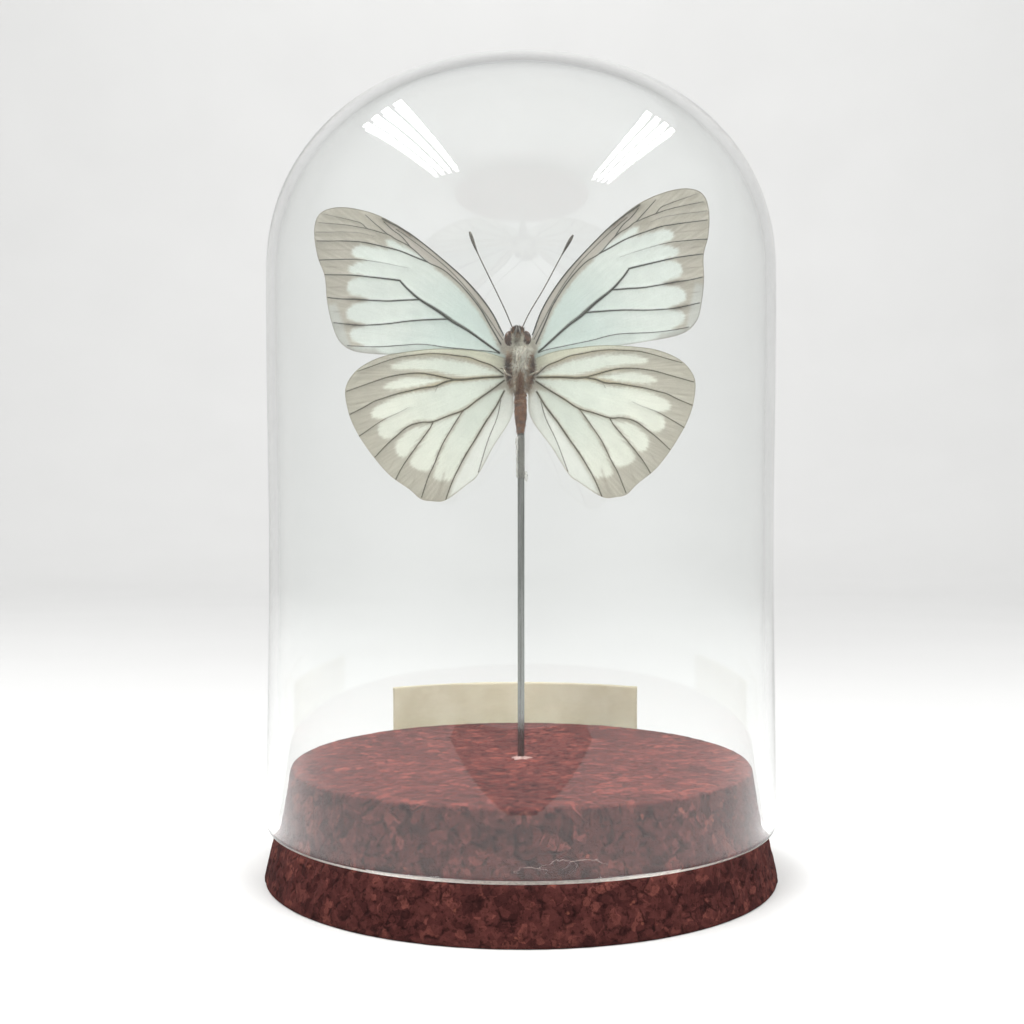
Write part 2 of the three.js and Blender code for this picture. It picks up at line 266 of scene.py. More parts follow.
def corkMaterial():
    material, tree, shader, _ = newMaterial("redCork", {"Roughness": 0.9, "Specular IOR Level": 0.08})
    coords = objectCoords(tree)
    bent = addNode(tree, "ShaderNodeTexNoise", {"Vector": coords, "Scale": 420.0, "Detail": 3.0})
    wander = mixColour(tree, 0.0013, coords, bent.outputs["Color"], "ADD")  # granules with crooked edges
    grains = {"Vector": wander, "Scale": 330.0}
    large = addNode(tree, "ShaderNodeTexVoronoi", grains)
    small = addNode(tree, "ShaderNodeTexVoronoi", {"Vector": wander, "Scale": 860.0})
    largeTone = addNode(tree, "ShaderNodeSeparateColor", {0: large.outputs["Color"]}).outputs[0]
    smallTone = addNode(tree, "ShaderNodeSeparateColor", {0: small.outputs["Color"]}).outputs[1]
    tone = mathNode(tree, "ADD", mathNode(tree, "MULTIPLY", largeTone, 0.45),
                    mathNode(tree, "MULTIPLY", smallTone, 0.55))
    granule = ramp(tree, tone, [
        (0.15, linear(53, 27, 26)), (0.42, linear(71, 37, 35)),
        (0.68, linear(81, 44, 41)), (0.88, linear(103, 58, 52))])
    fine = noiseTexture(tree, coords, 1100, 8, 0.75)
    mottle = ramp(tree, fine, [(0.32, (0.55, 0.51, 0.5)), (0.5, (1, 1, 1)), (0.68, (1.36, 1.3, 1.27))])
    colour = mixColour(tree, 0.85, granule, mottle, "MULTIPLY")
    edges = addNode(tree, "ShaderNodeTexVoronoi", grains, feature="DISTANCE_TO_EDGE")
    seams = ramp(tree, edges.outputs["Distance"], [(0.02, (1, 1, 1)), (0.1, (0, 0, 0))])
    crack = mathNode(tree, "MULTIPLY", seams, spots(tree, coords, 520, 3, 0.47, 0.6))
    pores = spots(tree, coords, 1050, 3, 0.57, 0.64)
    dark = mathNode(tree, "MAXIMUM", crack, mathNode(tree, "MULTIPLY", pores, 0.7))
    colour = mixColour(tree, mathNode(tree, "MULTIPLY", dark, 0.75), colour, linear(28, 13, 13))
    flecks = spots(tree, coords, 480, 2, 0.7, 0.75)
    colour = mixColour(tree, mathNode(tree, "MULTIPLY", flecks, 0.45), colour, linear(146, 86, 70))
    specks = spots(tree, coords, 1500, 2, 0.62, 0.68)
    colour = mixColour(tree, mathNode(tree, "MULTIPLY", specks, 0.55), colour, linear(34, 16, 15))
    # painted light: the top face is lightened below, as if lit from above
    level = addNode(tree, "ShaderNodeSeparateXYZ", {0: coords}).outputs[2]
    top = addNode(tree, "ShaderNodeMapRange", {"Value": level, "From Min": 0.0193, "From Max": 0.0198})
    paintedTopLight = (1.26, 1.05, 1.01, 1)  # painted light: the top face made lighter and redder, standing for the light falling on it from above
    colour = mixColour(tree, top.outputs[0], colour, paintedTopLight, "MULTIPLY")
    tree.links.new(colour, shader.inputs["Base Color"])
    bump(tree, shader, mathNode(tree, "SUBTRACT", fine, dark), 0.45, 0.0003)
    return material


def paperMaterial():
    material, tree, shader, output = newMaterial("agedPaper", {"Roughness": 0.85})
    coords = objectCoords(tree)
    cloud = noiseTexture(tree, coords, 90, 3)
    fibre = addNode(tree, "ShaderNodeMapping", {"Vector": coords, "Scale": (900, 900, 3500)})
    strands = noiseTexture(tree, fibre.outputs[0], 1.0, 4)
    colour = ramp(tree, cloud, [(0.3, linear(211, 202, 174)), (0.7, linear(228, 221, 200))])
    shade = ramp(tree, strands, [(0.3, (0.9, 0.88, 0.84)), (0.6, (1, 1, 1))])
    colour = mixColour(tree, 0.6, colour, shade, "MULTIPLY")
    tree.links.new(colour, shader.inputs["Base Color"])
    bump(tree, shader, strands, 0.25, 0.0001)
    letThrough(tree, shader, output, colour, 0.3)
    return material


def steelMaterial():
    # faint lines along the rod, left by drawing it
    material, tree, shader, _ = newMaterial("polishedRod", {"Metallic": 1})
    coords = objectCoords(tree)
    drawn = addNode(tree, "ShaderNodeMapping", {"Vector": coords, "Scale": (4000, 4000, 60)})
    lines = noiseTexture(tree, drawn.outputs[0], 1.0, 3)
    colour = ramp(tree, lines, [(0.35, linear(106, 108, 105)), (0.6, linear(146, 148, 145))])
    tree.links.new(colour, shader.inputs["Base Color"])
    rough = ramp(tree, lines, [(0.3, (0.08, 0.08, 0.08)), (0.7, (0.16, 0.16, 0.16))])
    tree.links.new(rough, shader.inputs["Roughness"])
    bump(tree, shader, lines, 0.08, 0.00004)
    return material


def glueMaterial(name, dark, light, clear, rough):
    material, tree, shader, _ = newMaterial(name, {
        "Transmission Weight": clear, "IOR": 1.4, "Roughness": rough})
    grain = noiseTexture(tree, objectCoords(tree), 2600, 4)
    colour = ramp(tree, grain, [(0.35, dark), (0.65, light)])
    tree.links.new(colour, shader.inputs["Base Color"])
    bump(tree, shader, grain, 0.25, 0.0001)
    return material


def groundGlassMaterial():
    # the cut rim, left a little rough
    material, tree, shader, _ = newMaterial("groundGlass", {
        "Transmission Weight": 0.8, "IOR": 1.5, "Roughness": 0.35})
    grain = noiseTexture(tree, objectCoords(tree), 1800, 4)
    colour = ramp(tree, grain, [(0.35, linear(166, 161, 151)), (0.65, linear(220, 216, 205))])
    tree.links.new(colour, shader.inputs["Base Color"])
    bump(tree, shader, grain, 0.2, 0.0001)
    return material


def wingMaterial(name, palette):
    # colours come from the wing's own marks, grain from Object coordinates
    material, tree, shader, output = newMaterial(name, {"Roughness": 0.7, "Specular IOR Level": 0.25})
    coords = objectCoords(tree)
    grain = noiseTexture(tree, coords, 5200, 3)
    cloud = noiseTexture(tree, coords, 300, 5)
    pale = mixColour(tree, attribute(tree, "warm"), palette["pale"], palette["paleWarm"])
    border = mixColour(tree, attribute(tree, "fibre"), palette["border"], palette["borderLight"])
    colour = mixColour(tree, attribute(tree, "pale"), border, pale)
    for mark in ("clear", "golden", "costal", "streak", "vein"):  # each over those before it
        colour = mixColour(tree, attribute(tree, mark), colour, palette[mark])
    tint = ramp(tree, cloud, [(0.3, (0.95, 0.955, 0.95)), (0.7, (1.02, 1.02, 1.02))])
    colour = mixColour(tree, 1.0, colour, tint, "MULTIPLY")
    rows = ramp(tree, attribute(tree, "fibre"), [(0.0, (0.96, 0.96, 0.955)), (1.0, (1.02, 1.02, 1.02))])
    colour = mixColour(tree, 1.0, colour, rows, "MULTIPLY")
    shade = ramp(tree, grain, [(0.3, (0.88, 0.88, 0.87)), (0.6, (1, 1, 1)), (0.75, (1.04, 1.04, 1.04))])
    colour = mixColour(tree, 0.7, colour, shade, "MULTIPLY")
    tree.links.new(colour, shader.inputs["Base Color"])
    bump(tree, shader, grain, 0.25, 0.00006)
    letThrough(tree, shader, output, colour, palette["glow"])
    return material


def skinMaterial(name, dark, light, scale, rough):
    material, tree, shader, _ = newMaterial(name, {"Roughness": rough})
    grain = noiseTexture(tree, objectCoords(tree), scale, 5)
    colour = ramp(tree, grain, [(0.32, dark), (0.68, light)])
    tree.links.new(colour, shader.inputs["Base Color"])
    bump(tree, shader, grain, 0.4, 0.00008)
    return material


def furMaterial(name):
    # tone runs from dark (0) through brown (0.5) to white (1), set hair by hair
    material, tree, shader, _ = newMaterial(name, {"Roughness": 0.75, "Specular IOR Level": 0.3})
    grain = noiseTexture(tree, objectCoords(tree), 3000, 3)
    tone = mathNode(tree, "ADD", attribute(tree, "tone"), mathNode(tree, "MULTIPLY", grain, 0.22))
    tone = mathNode(tree, "SUBTRACT", tone, 0.11)
    colour = ramp(tree, tone, [
        (0.0, linear(38, 32, 28)), (0.25, linear(84, 78, 70)), (0.42, linear(112, 78, 56)),
        (0.55, linear(140, 118, 94)), (0.78, linear(186, 184, 172)), (1.0, linear(232, 230, 220))])
    tree.links.new(colour, shader.inputs["Base Color"])
    bump(tree, shader, grain, 0.3, 0.00005)
    return material


forewingPalette = {
    "pale": linear(213, 223, 218), "paleWarm": linear(226, 231, 226),
    "border": linear(186, 182, 169), "borderLight": linear(203, 199, 188), "clear": linear(205, 206, 200),
    "costal": linear(196, 191, 182), "streak": linear(114, 100, 84),
    "golden": linear(216, 212, 190), "vein": linear(58, 62, 54), "glow": 0.45}
hindwingPalette = {
    "pale": linear(226, 231, 222), "paleWarm": linear(234, 236, 226),
    "border": linear(188, 184, 170), "borderLight": linear(203, 200, 187), "clear": linear(234, 236, 230),
    "costal": linear(214, 214, 196), "streak": linear(156, 148, 128),
    "golden": linear(200, 184, 136), "vein": linear(76, 74, 55), "glow": 0.45}

clearGlass = glassMaterial()
redCork = corkMaterial()
agedPaper = paperMaterial()
polishedRod = steelMaterial()
groundGlass = groundGlassMaterial()
clearGlue = glueMaterial("clearGlue", linear(226, 224, 216), linear(250, 250, 246), 0.95, 0.08)
smearGlue = glueMaterial("smearGlue", linear(176, 132, 126), linear(222, 196, 188), 0.75, 0.2)
whiteGlue = glueMaterial("whiteGlue", linear(112, 78, 72), linear(190, 168, 160), 0.0, 0.5)
forewingSkin = wingMaterial("forewingScales", forewingPalette)
hindwingSkin = wingMaterial("hindwingScales", hindwingPalette)
forewingVein = skinMaterial("forewingVein", linear(38, 41, 36), linear(70, 72, 62), 2400, 0.6)
hindwingVein = skinMaterial("hindwingVein", linear(56, 55, 40), linear(100, 96, 72), 2400, 0.6)
antennaSkin = skinMaterial("antennaSkin", linear(44, 41, 37), linear(92, 86, 76), 3000, 0.6)
legSkin = skinMaterial("legSkin", linear(92, 86, 74), linear(188, 180, 162), 2200, 0.7)
eyeSkin = skinMaterial("eyeFacets", linear(38, 24, 17), linear(80, 54, 38), 900, 0.22)
bodyFur = furMaterial("bodyFur")
print("materials made")


# Geometry Nodes trees

def newTree(name, sockets):
    tree = bpy.data.node_groups.new(name, "GeometryNodeTree")
    tree.interface.new_socket("Geometry", in_out="OUTPUT", socket_type="NodeSocketGeometry")
    tree.interface.new_socket("Geometry", in_out="INPUT", socket_type="NodeSocketGeometry")
    for label, kind, value in sockets:
        socket = tree.interface.new_socket(label, in_out="INPUT", socket_type=kind)
        if value is not None:
            socket.default_value = value
    return tree, addNode(tree, "NodeGroupInput"), addNode(tree, "NodeGroupOutput")


def closeTree(tree, geometry, given, output):
    real = addNode(tree, "GeometryNodeRealizeInstances", {"Geometry": geometry})
    dressed = addNode(tree, "GeometryNodeSetMaterial",
                      {"Geometry": real.outputs[0], "Material": given.outputs["Material"]})
    tree.links.new(dressed.outputs[0], output.inputs[0])
    return tree


def applyTree(piece, tree, values):
    modifier = piece.modifiers.new(tree.name, "NODES")
    modifier.node_group = tree
    sockets = {item.name: item.identifier for item in tree.interface.items_tree if item.in_out == "INPUT"}
    for label, value in values.items():
        modifier[sockets[label]] = value
    return plainMesh(piece)


def tubeTree():
    # a round tube along each line, as thick as the line's own radius attribute says
    tree, given, output = newTree("tubeAlongLine", [
        ("Sides", "NodeSocketInt", 8), ("Material", "NodeSocketMaterial", None)])
    radius = addNode(tree, "GeometryNodeInputNamedAttribute", {"Name": "radius"}, data_type="FLOAT")
    curve = addNode(tree, "GeometryNodeMeshToCurve", {"Mesh": given.outputs["Geometry"]})
    ring = addNode(tree, "GeometryNodeCurvePrimitiveCircle",
                   {"Resolution": given.outputs["Sides"], "Radius": 1.0})
    tube = addNode(tree, "GeometryNodeCurveToMesh",
                   {"Curve": curve.outputs[0], "Profile Curve": ring.outputs[0],
                    "Scale": radius.outputs["Attribute"], "Fill Caps": True})
    smooth = addNode(tree, "GeometryNodeSetShadeSmooth",
                     {"Geometry": tube.outputs[0], "Shade Smooth": True})
    return closeTree(tree, smooth.outputs[0], given, output)


def hairTree():
    # short tapering hairs over a surface, combed one way, denser where its fur attribute is high
    tree, given, output = newTree("combedHairs", [
        ("Density", "NodeSocketFloat", 1e6), ("Length", "NodeSocketFloat", 0.001),
        ("Width", "NodeSocketFloat", 0.00003), ("Comb", "NodeSocketVector", None),
        ("Wild", "NodeSocketFloat", 0.3), ("Seed", "NodeSocketInt", 1),
        ("Material", "NodeSocketMaterial", None)])
    fur = addNode(tree, "GeometryNodeInputNamedAttribute", {"Name": "fur"}, data_type="FLOAT")
    density = addNode(tree, "ShaderNodeMath",
                      {0: fur.outputs["Attribute"], 1: given.outputs["Density"]}, operation="MULTIPLY")
    points = addNode(tree, "GeometryNodeDistributePointsOnFaces",
                     {"Mesh": given.outputs["Geometry"], "Density": density.outputs[0],
                      "Seed": given.outputs["Seed"]})
    shape = addNode(tree, "GeometryNodeMeshCone",
                    {"Vertices": 3, "Side Segments": 1, "Radius Top": 0.0, "Depth": given.outputs["Length"],
                     "Radius Bottom": given.outputs["Width"]}, fill_type="NONE")
    stray = addNode(tree, "FunctionNodeRandomValue",
                    {"Min": (-1, -1, -1), "Max": (1, 1, 1), "Seed": given.outputs["Seed"]},
                    data_type="FLOAT_VECTOR")
    strayScaled = addNode(tree, "ShaderNodeVectorMath",
                          {0: stray.outputs[0], "Scale": given.outputs["Wild"]}, operation="SCALE")
    combed = addNode(tree, "ShaderNodeVectorMath",
                     {0: points.outputs["Normal"], 1: given.outputs["Comb"]}, operation="ADD")
    aim = addNode(tree, "ShaderNodeVectorMath",
                  {0: combed.outputs[0], 1: strayScaled.outputs[0]}, operation="ADD")
    turn = addNode(tree, "FunctionNodeAlignRotationToVector", {"Vector": aim.outputs[0]}, axis="Z")
    size = addNode(tree, "FunctionNodeRandomValue",
                   {2: 0.55, 3: 1.25, "Seed": given.outputs["Seed"]}, data_type="FLOAT")
    hairs = addNode(tree, "GeometryNodeInstanceOnPoints",
                    {"Points": points.outputs["Points"], "Instance": shape.outputs["Mesh"],
                     "Rotation": turn.outputs[0], "Scale": size.outputs[1]})
    return closeTree(tree, hairs.outputs[0], given, output)


def facetTree():
    # the many lenses of a compound eye: the dual of a fine ball, each cell raised and narrowed
    tree, given, output = newTree("eyeFacets", [
        ("Raise", "NodeSocketFloat", 0.00003), ("Material", "NodeSocketMaterial", None)])
    cells = addNode(tree, "GeometryNodeDualMesh", {"Mesh": given.outputs["Geometry"]})
    lifted = addNode(tree, "GeometryNodeExtrudeMesh",
                     {"Mesh": cells.outputs[0], "Offset Scale": given.outputs["Raise"], "Individual": True})
    narrowed = addNode(tree, "GeometryNodeScaleElements",
                       {"Geometry": lifted.outputs["Mesh"], "Selection": lifted.outputs["Top"],
                        "Scale": 0.72})
    return closeTree(tree, narrowed.outputs[0], given, output)


def crumbTree():
    # rough lumps scattered over a surface
    tree, given, output = newTree("crumbs", [
        ("Density", "NodeSocketFloat", 1e6), ("Size", "NodeSocketFloat", 0.0002),
        ("Seed", "NodeSocketInt", 1), ("Material", "NodeSocketMaterial", None)])
    points = addNode(tree, "GeometryNodeDistributePointsOnFaces",
                     {"Mesh": given.outputs["Geometry"], "Density": given.outputs["Density"],
                      "Seed": given.outputs["Seed"]})
    lump = addNode(tree, "GeometryNodeMeshIcoSphere", {"Radius": given.outputs["Size"], "Subdivisions": 2})
    turn = addNode(tree, "FunctionNodeRandomValue",
                   {"Min": (0, 0, 0), "Max": (6.28, 6.28, 6.28), "Seed": given.outputs["Seed"]},
                   data_type="FLOAT_VECTOR")
    size = addNode(tree, "FunctionNodeRandomValue",
                   {"Min": (0.3, 0.3, 0.2), "Max": (1.3, 1.3, 0.9), "Seed": given.outputs["Seed"]},
                   data_type="FLOAT_VECTOR")
    lumps = addNode(tree, "GeometryNodeInstanceOnPoints",
                    {"Points": points.outputs["Points"], "Instance": lump.outputs["Mesh"],
                     "Rotation": turn.outputs[0], "Scale": size.outputs[0]})
    both = addNode(tree, "GeometryNodeJoinGeometry")
    tree.links.new(lumps.outputs[0], both.inputs[0])
    tree.links.new(given.outputs["Geometry"], both.inputs[0])
    return closeTree(tree, both.outputs[0], given, output)


tubeNodes = tubeTree()
hairNodes = hairTree()
facetNodes = facetTree()
crumbNodes = crumbTree()


def tubes(name, lines, sides, material):
    # lines is a list of (points, radii), in millimetres
    verts, edges, radii = [], [], []
    for points, thick in lines:
        start = len(verts)
        verts.extend(points)
        radii.extend(thick)
        edges.extend((start + i, start + i + 1) for i in range(len(points) - 1))
    mesh = bpy.data.meshes.new(name)
    mesh.from_pydata([tuple(v) for v in np.array(verts) * mm], edges, [])
    layer = mesh.attributes.new("radius", "FLOAT", "POINT")
    layer.data.foreach_set("value", np.array(radii, np.float32) * mm)
    return applyTree(linked(name, mesh), tubeNodes, {"Sides": sides, "Material": material})


# Camera, studio and lights

camera = {"place": (-1.63, -242.7, 64.33), "lens": 47.24, "sensor": 36}
studio = {"floorRadius": 900, "wallRadius": 1700, "wallTop": 2000, "world": 0.6}
strips = [  # long ceiling lights made of slats: ends of the middle line, width, power in watts
    {"from": (-395, 233, 700), "to": (-468, -634, 700), "width": 200, "slats": 4, "power": 7.1},
    {"from": (431, 147, 700), "to": (550, -735, 700), "width": 165, "slats": 4, "power": 7.1}]
backLight = {"centre": (0, 700, 1100), "aim": (0, 1500, 850), "width": 1200, "length": 500, "power": 9}
# painted shade: a dark card below the camera standing for the shaded space under it, seen mirrored in the
# glass; its right edge from near to far
paintedShadeCard = {"near": (11, -133), "middle": (120, -232), "far": (130, -290), "height": 2}


def makeCamera():
    data = bpy.data.cameras.new("camera")
    data.lens = camera["lens"]
    data.sensor_width = camera["sensor"]
    data.clip_start = 0.01
    eye = linked("camera", data)
    eye.location = Vector(camera["place"]) * mm
    eye.rotation_euler = (math.pi / 2, 0, 0)
    bpy.context.scene.camera = eye


def areaLight(name, centre, aim, up, width, length, power):
    data = bpy.data.lights.new(name, "AREA")
    data.shape = "RECTANGLE"
    data.size = width * mm
    data.size_y = length * mm
    data.energy = power
    light = linked(name, data)
    forward = (Vector(aim) - Vector(centre)).normalized()
    across = forward.cross(Vector(up)).normalized()
    turn = Matrix((across, across.cross(forward), -forward)).transposed()
    light.matrix_world = Matrix.Translation(Vector(centre) * mm) @ turn.to_4x4()
    return light


def slatLights(name, spec):
    start, end = Vector(spec["from"]), Vector(spec["to"])
    middle, along = (start + end) / 2, (end - start).normalized()
    across = Vector((along.y, -along.x, 0))
    pitch = spec["width"] / spec["slats"]
    for i in range(spec["slats"]):
        centre = middle + across * (i - (spec["slats"] - 1) / 2) * pitch
        areaLight("%s_%d" % (name, i), centre, centre - Vector((0, 0, 1)), along, pitch * 0.62,
                  (end - start).length, spec["power"] / spec["slats"])


def makePaintedShadeCard():
    # painted shade: a near-black sheet where the floor under the camera lies in shade
    material, tree, shader, _ = newMaterial("paintedShadeCard", {"Roughness": 0.9})
    weave = noiseTexture(tree, objectCoords(tree), 400, 2)
    colour = ramp(tree, weave, [(0.3, (0.02, 0.02, 0.02)), (0.7, (0.035, 0.035, 0.035))])
    tree.links.new(colour, shader.inputs["Base Color"])
    right = [paintedShadeCard["near"], paintedShadeCard["middle"], paintedShadeCard["far"]]
    outline = [(-x, y) for x, y in right] + right[::-1]
    verts = [(x, y, paintedShadeCard["height"]) for x, y in outline]
    card = meshObject("paintedShadeCard", verts, [(0, 1, 4, 5), (1, 2, 3, 4)], material)
    card.visible_camera = False  # only reflections see it, as a painted shade in the glass
    card.visible_transmission = False
    card.visible_diffuse = False
    card.visible_shadow = False


def makeStudio():
    material, tree, shader, _ = newMaterial("studioFloor", {"Roughness": 0.6, "Specular IOR Level": 0.1})
    mottled = noiseTexture(tree, objectCoords(tree), 6, 2)
    colour = ramp(tree, mottled, [(0.3, (0.69, 0.69, 0.685)), (0.7, (0.71, 0.71, 0.705))])
    tree.links.new(colour, shader.inputs["Base Color"])
    flat, wall = studio["floorRadius"], studio["wallRadius"]
    sweep = [(flat + (wall - flat) * math.sin(a), (wall - flat) * (1 - math.cos(a)))
             for a in np.linspace(0, math.pi / 2, 24)]
    verts, faces = turned([(0, 0), (flat / 2, 0)] + sweep + [(wall, studio["wallTop"])], 96)
    floor = meshObject("floor", verts, [f[::-1] for f in faces], material)
    for index, spec in enumerate(strips):
        slatLights("strip%d" % index, spec)
    back = areaLight("backLight", backLight["centre"], backLight["aim"], (0, 0, 1), backLight["width"],
                     backLight["length"], backLight["power"])
    back.visible_glossy = False
    back.visible_transmission = False
    makePaintedShadeCard()
    world = bpy.data.worlds.new("world")
    world.use_nodes = True
    sky = world.node_tree.nodes["Background"]
    sky.inputs["Color"].default_value = (1, 1, 1, 1)
    sky.inputs["Strength"].default_value = studio["world"]
    scene = bpy.context.scene
    scene.world = world
    scene.view_settings.view_transform = "Standard"


makeCamera()
makeStudio()
print("camera and studio made")


# The glass dome

dome = {"radius": 45, "wall": 1.8, "rim": 9.3, "top": 144, "crown": 37.6, "power": 2.2,
        "bulge": 0.25, "ground": 0.55, "sides": 192, "crownSteps": 60, "wallSteps": 60}


def makeDome():
    radius, wall = dome["radius"], dome["wall"]
    shoulder = dome["top"] - dome["crown"]
    exponent = 2 / dome["power"]

    def crown(across, up):
        angles = np.linspace(0, math.pi / 2, dome["crownSteps"])
        line = [(across * math.cos(a) ** exponent, shoulder + up * math.sin(a) ** exponent)
                for a in angles]
        line[-1] = (0, shoulder + up)
        return line

    heights = np.linspace(dome["rim"] + wall / 2, shoulder, dome["wallSteps"])[:-1]
    rim = [(radius - wall / 2 - wall / 2 * math.cos(a), dome["rim"] + wall / 2 - wall / 2 * math.sin(a))
           for a in np.linspace(0, math.pi, 17)][1:-1]
    inner = crown(radius - wall, dome["crown"] - wall)[::-1] + [(radius - wall, z) for z in heights[::-1]]
    outer = [(radius, z) for z in heights] + crown(radius, dome["crown"])
    verts, faces = turned(inner + rim + outer, dome["sides"])
    # hand-drawn glass: a slight waist, fuller at the shoulder and the foot
    height = (verts[:, 2] - dome["rim"]) / (dome["top"] - dome["rim"])
    swell = dome["bulge"] * np.cos(height * 2.9 * math.pi) * smoothStep(1.0, 0.85, height)
    angle = np.arctan2(verts[:, 1], verts[:, 0])
    swell += 0.07 * np.sin(2 * angle + 0.7) + 0.04 * np.sin(3 * angle + 7 * height)
    factor = 1 + swell / radius
    verts[:, 0] *= factor
    verts[:, 1] *= factor
    piece = meshObject("glassDome", verts, faces, clearGlass)
    piece.data.materials.append(groundGlass)
    edge = dome["rim"] + dome["ground"]
    for face in piece.data.polygons:
        face.material_index = int(face.center.z < edge * mm)
    piece.visible_shadow = False  # light reaches the specimen as it does through thin clear glass
    settle(piece, "glass", "glass_dome")


makeDome()
print("dome made")


# The cork foot

cork = {"height": 20, "bottomRadius": 45.6, "topRadius": 41, "ledge": 9, "ledgeWidth": 0.6, "round": 0.5,
        "sides": 470, "ring": 0.58, "granule": 3.0, "seamDepth": 0.4, "lift": 0.2, "holeRadius": 0.74,
        "seed": 3}


def makeCork():
    height, ledge, rounding, hole = cork["height"], cork["ledge"], cork["round"], cork["holeRadius"]

    def radiusAt(z):
        return cork["bottomRadius"] + (cork["topRadius"] - cork["bottomRadius"]) * z / height

    def rounded(z, fromEdge):
        return radiusAt(z) - rounding * (1 - math.sin(math.acos(1 - fromEdge / rounding)))

    corners = [(0, 0), (12, 0), (24, 0), (36, 0), (radiusAt(0) - rounding, 0)]
    corners += [(rounded(z, z), z) for z in (0.1, 0.3)]
    corners += [(radiusAt(rounding), rounding), (radiusAt(ledge), ledge)]
    corners += [(radiusAt(ledge) - cork["ledgeWidth"], ledge + 0.15)]
    corners += [(radiusAt(height - rounding), height - rounding)]
    corners += [(rounded(height - z, z), height - z) for z in (0.3, 0.1)]
    corners += [(radiusAt(height) - rounding, height), (hole, height), (hole, ledge), (0, ledge)]
    profile = []
    for start, end in zip(corners, corners[1:]):
        inHole = start[0] <= hole and end[0] <= hole
        under = start[1] == 0 and end[1] == 0
        length = math.dist(start, end)
        pieces = 1 if inHole or under else max(1, round(length / cork["ring"]))
        profile += [(start[0] + (end[0] - start[0]) * i / pieces,
                     start[1] + (end[1] - start[1]) * i / pieces) for i in range(pieces)]
    profile.append(corners[-1])
    verts, faces = turned(profile, cork["sides"])
    outward = np.zeros_like(verts)
    shift = np.zeros(len(verts))
    noise.seed_set(cork["seed"])  # noise_vector depends on it
    for i, v in enumerate(verts):
        stretched = Vector((v[0], v[1], v[2] * 1.15)) / cork["granule"]
        warp = noise.noise_vector(stretched * 1.3) * 0.28
        distances, centres = noise.voronoi(stretched + warp)
        centre = centres[0]
        granule = (math.sin(centre.x * 12.9 + centre.y * 78.2 + centre.z * 37.7) * 43758.5) % 1
        gap = distances[1] - distances[0]
        seam = max(0.0, 1 - gap / 0.12) * (0.35 + 0.65 * ((granule * 7.3) % 1))
        rough = noise.noise(Vector(v) * 1.9) * 0.07 + noise.noise(Vector(v) * 0.7) * 0.08
        shift[i] = cork["lift"] * (granule - 0.6) - cork["seamDepth"] * seam + rough
    radial = np.hypot(verts[:, 0], verts[:, 1])
    onTop = smoothStep(height - 0.45, height - 0.05, verts[:, 2])
    direction = verts[:, :2] / np.maximum(radial, 1e-6)[:, None]
    outward[:, :2] = direction * (1 - onTop)[:, None]
    outward[:, 2] = onTop
    free = smoothStep(0.0, 0.6, verts[:, 2]) * smoothStep(hole, 1.6, radial)
    cut = 1 - 0.65 * onTop  # the top is smoother than the side
    verts += outward * (np.minimum(shift, 0.05) * free * cut)[:, None]
    piece = meshObject("corkFoot", verts, faces, redCork)
    settle(piece, "cork", "cork_base")


makeCork()
print("cork made")


# The paper slip behind the glass

label = {"radius": 45.42, "arc": 70, "turn": 1.5, "bottom": 12, "height": 16, "thickness": 0.16,
         "columns": 120, "rows": 36, "lift": 0.25}


def makeLabel():
    across = np.linspace(-1, 1, label["columns"])
    up = np.linspace(0, 1, label["rows"])
    u, v = np.meshgrid(across, up)
    u, v = u.ravel(), v.ravel()
    angle = math.pi / 2 + math.radians(label["turn"]) - np.radians(label["arc"] / 2) * u
    corner = np.abs(u) ** 6 * (0.3 + 0.7 * np.abs(2 * v - 1) ** 3)
    grid = np.column_stack([u * 27, v * 16, np.zeros_like(u)])
    wave = 0.05 * noiseAt(grid, 0.2, 3.0)
    ragged = 0.06 * noiseAt(grid, 0.9, 8.0) * (np.abs(2 * v - 1) > 0.98)  # upper and lower edge
    height = label["bottom"] + label["height"] * v + ragged
    layers = []
    for side in (-1, 1):
        radius = label["radius"] + side * label["thickness"] / 2 + wave + label["lift"] * corner
        layers.append(np.column_stack([radius * np.cos(angle), radius * np.sin(angle), height]))
    columns, rows = label["columns"], label["rows"]
    count = columns * rows
    faces = []
    for r in range(rows - 1):
        for c in range(columns - 1):
            a = r * columns + c
            corners = (a, a + 1, a + columns + 1, a + columns)
            faces.append(corners)
            faces.append(tuple(count + k for k in corners[::-1]))
    edge = list(range(columns)) + [r * columns + columns - 1 for r in range(1, rows)]
    edge += [(rows - 1) * columns + c for c in range(columns - 2, -1, -1)]
    edge += [r * columns for r in range(rows - 2, 0, -1)]
    for a, b in zip(edge, edge[1:] + edge[:1]):
        faces.append((b, a, count + a, count + b))
    piece = meshObject("paperSlip", np.vstack(layers), faces, agedPaper)
    settle(piece, "paper", "label")


makeLabel()
print("label made")


# The rod and the dried glue on it

pin = {"radius": 0.62, "bottom": 9, "taper": 78, "tip": 85, "tipRadius": 0.25, "sides": 48}
glue = {"top": 78.2, "bottom": 70.4, "inner": 0.63, "thickness": 0.14, "sides": 48, "rings": 60,
        "drop": (0.92, -0.1, 70.8), "dropHalf": (0.3, 0.34, 0.9)}
smear = {"radius": 43.02, "thickness": 0.1,
         "spots": [(-88.4, 10.9, 2.3, 0.8), (-83.2, 11.2, 2.7, 1.4), (-77.6, 11.4, 3.1, 1.2)]}
glueFoot = {"radius": 1.6, "height": 0.3, "density": 1.2e7, "size": 0.17, "seed": 5}


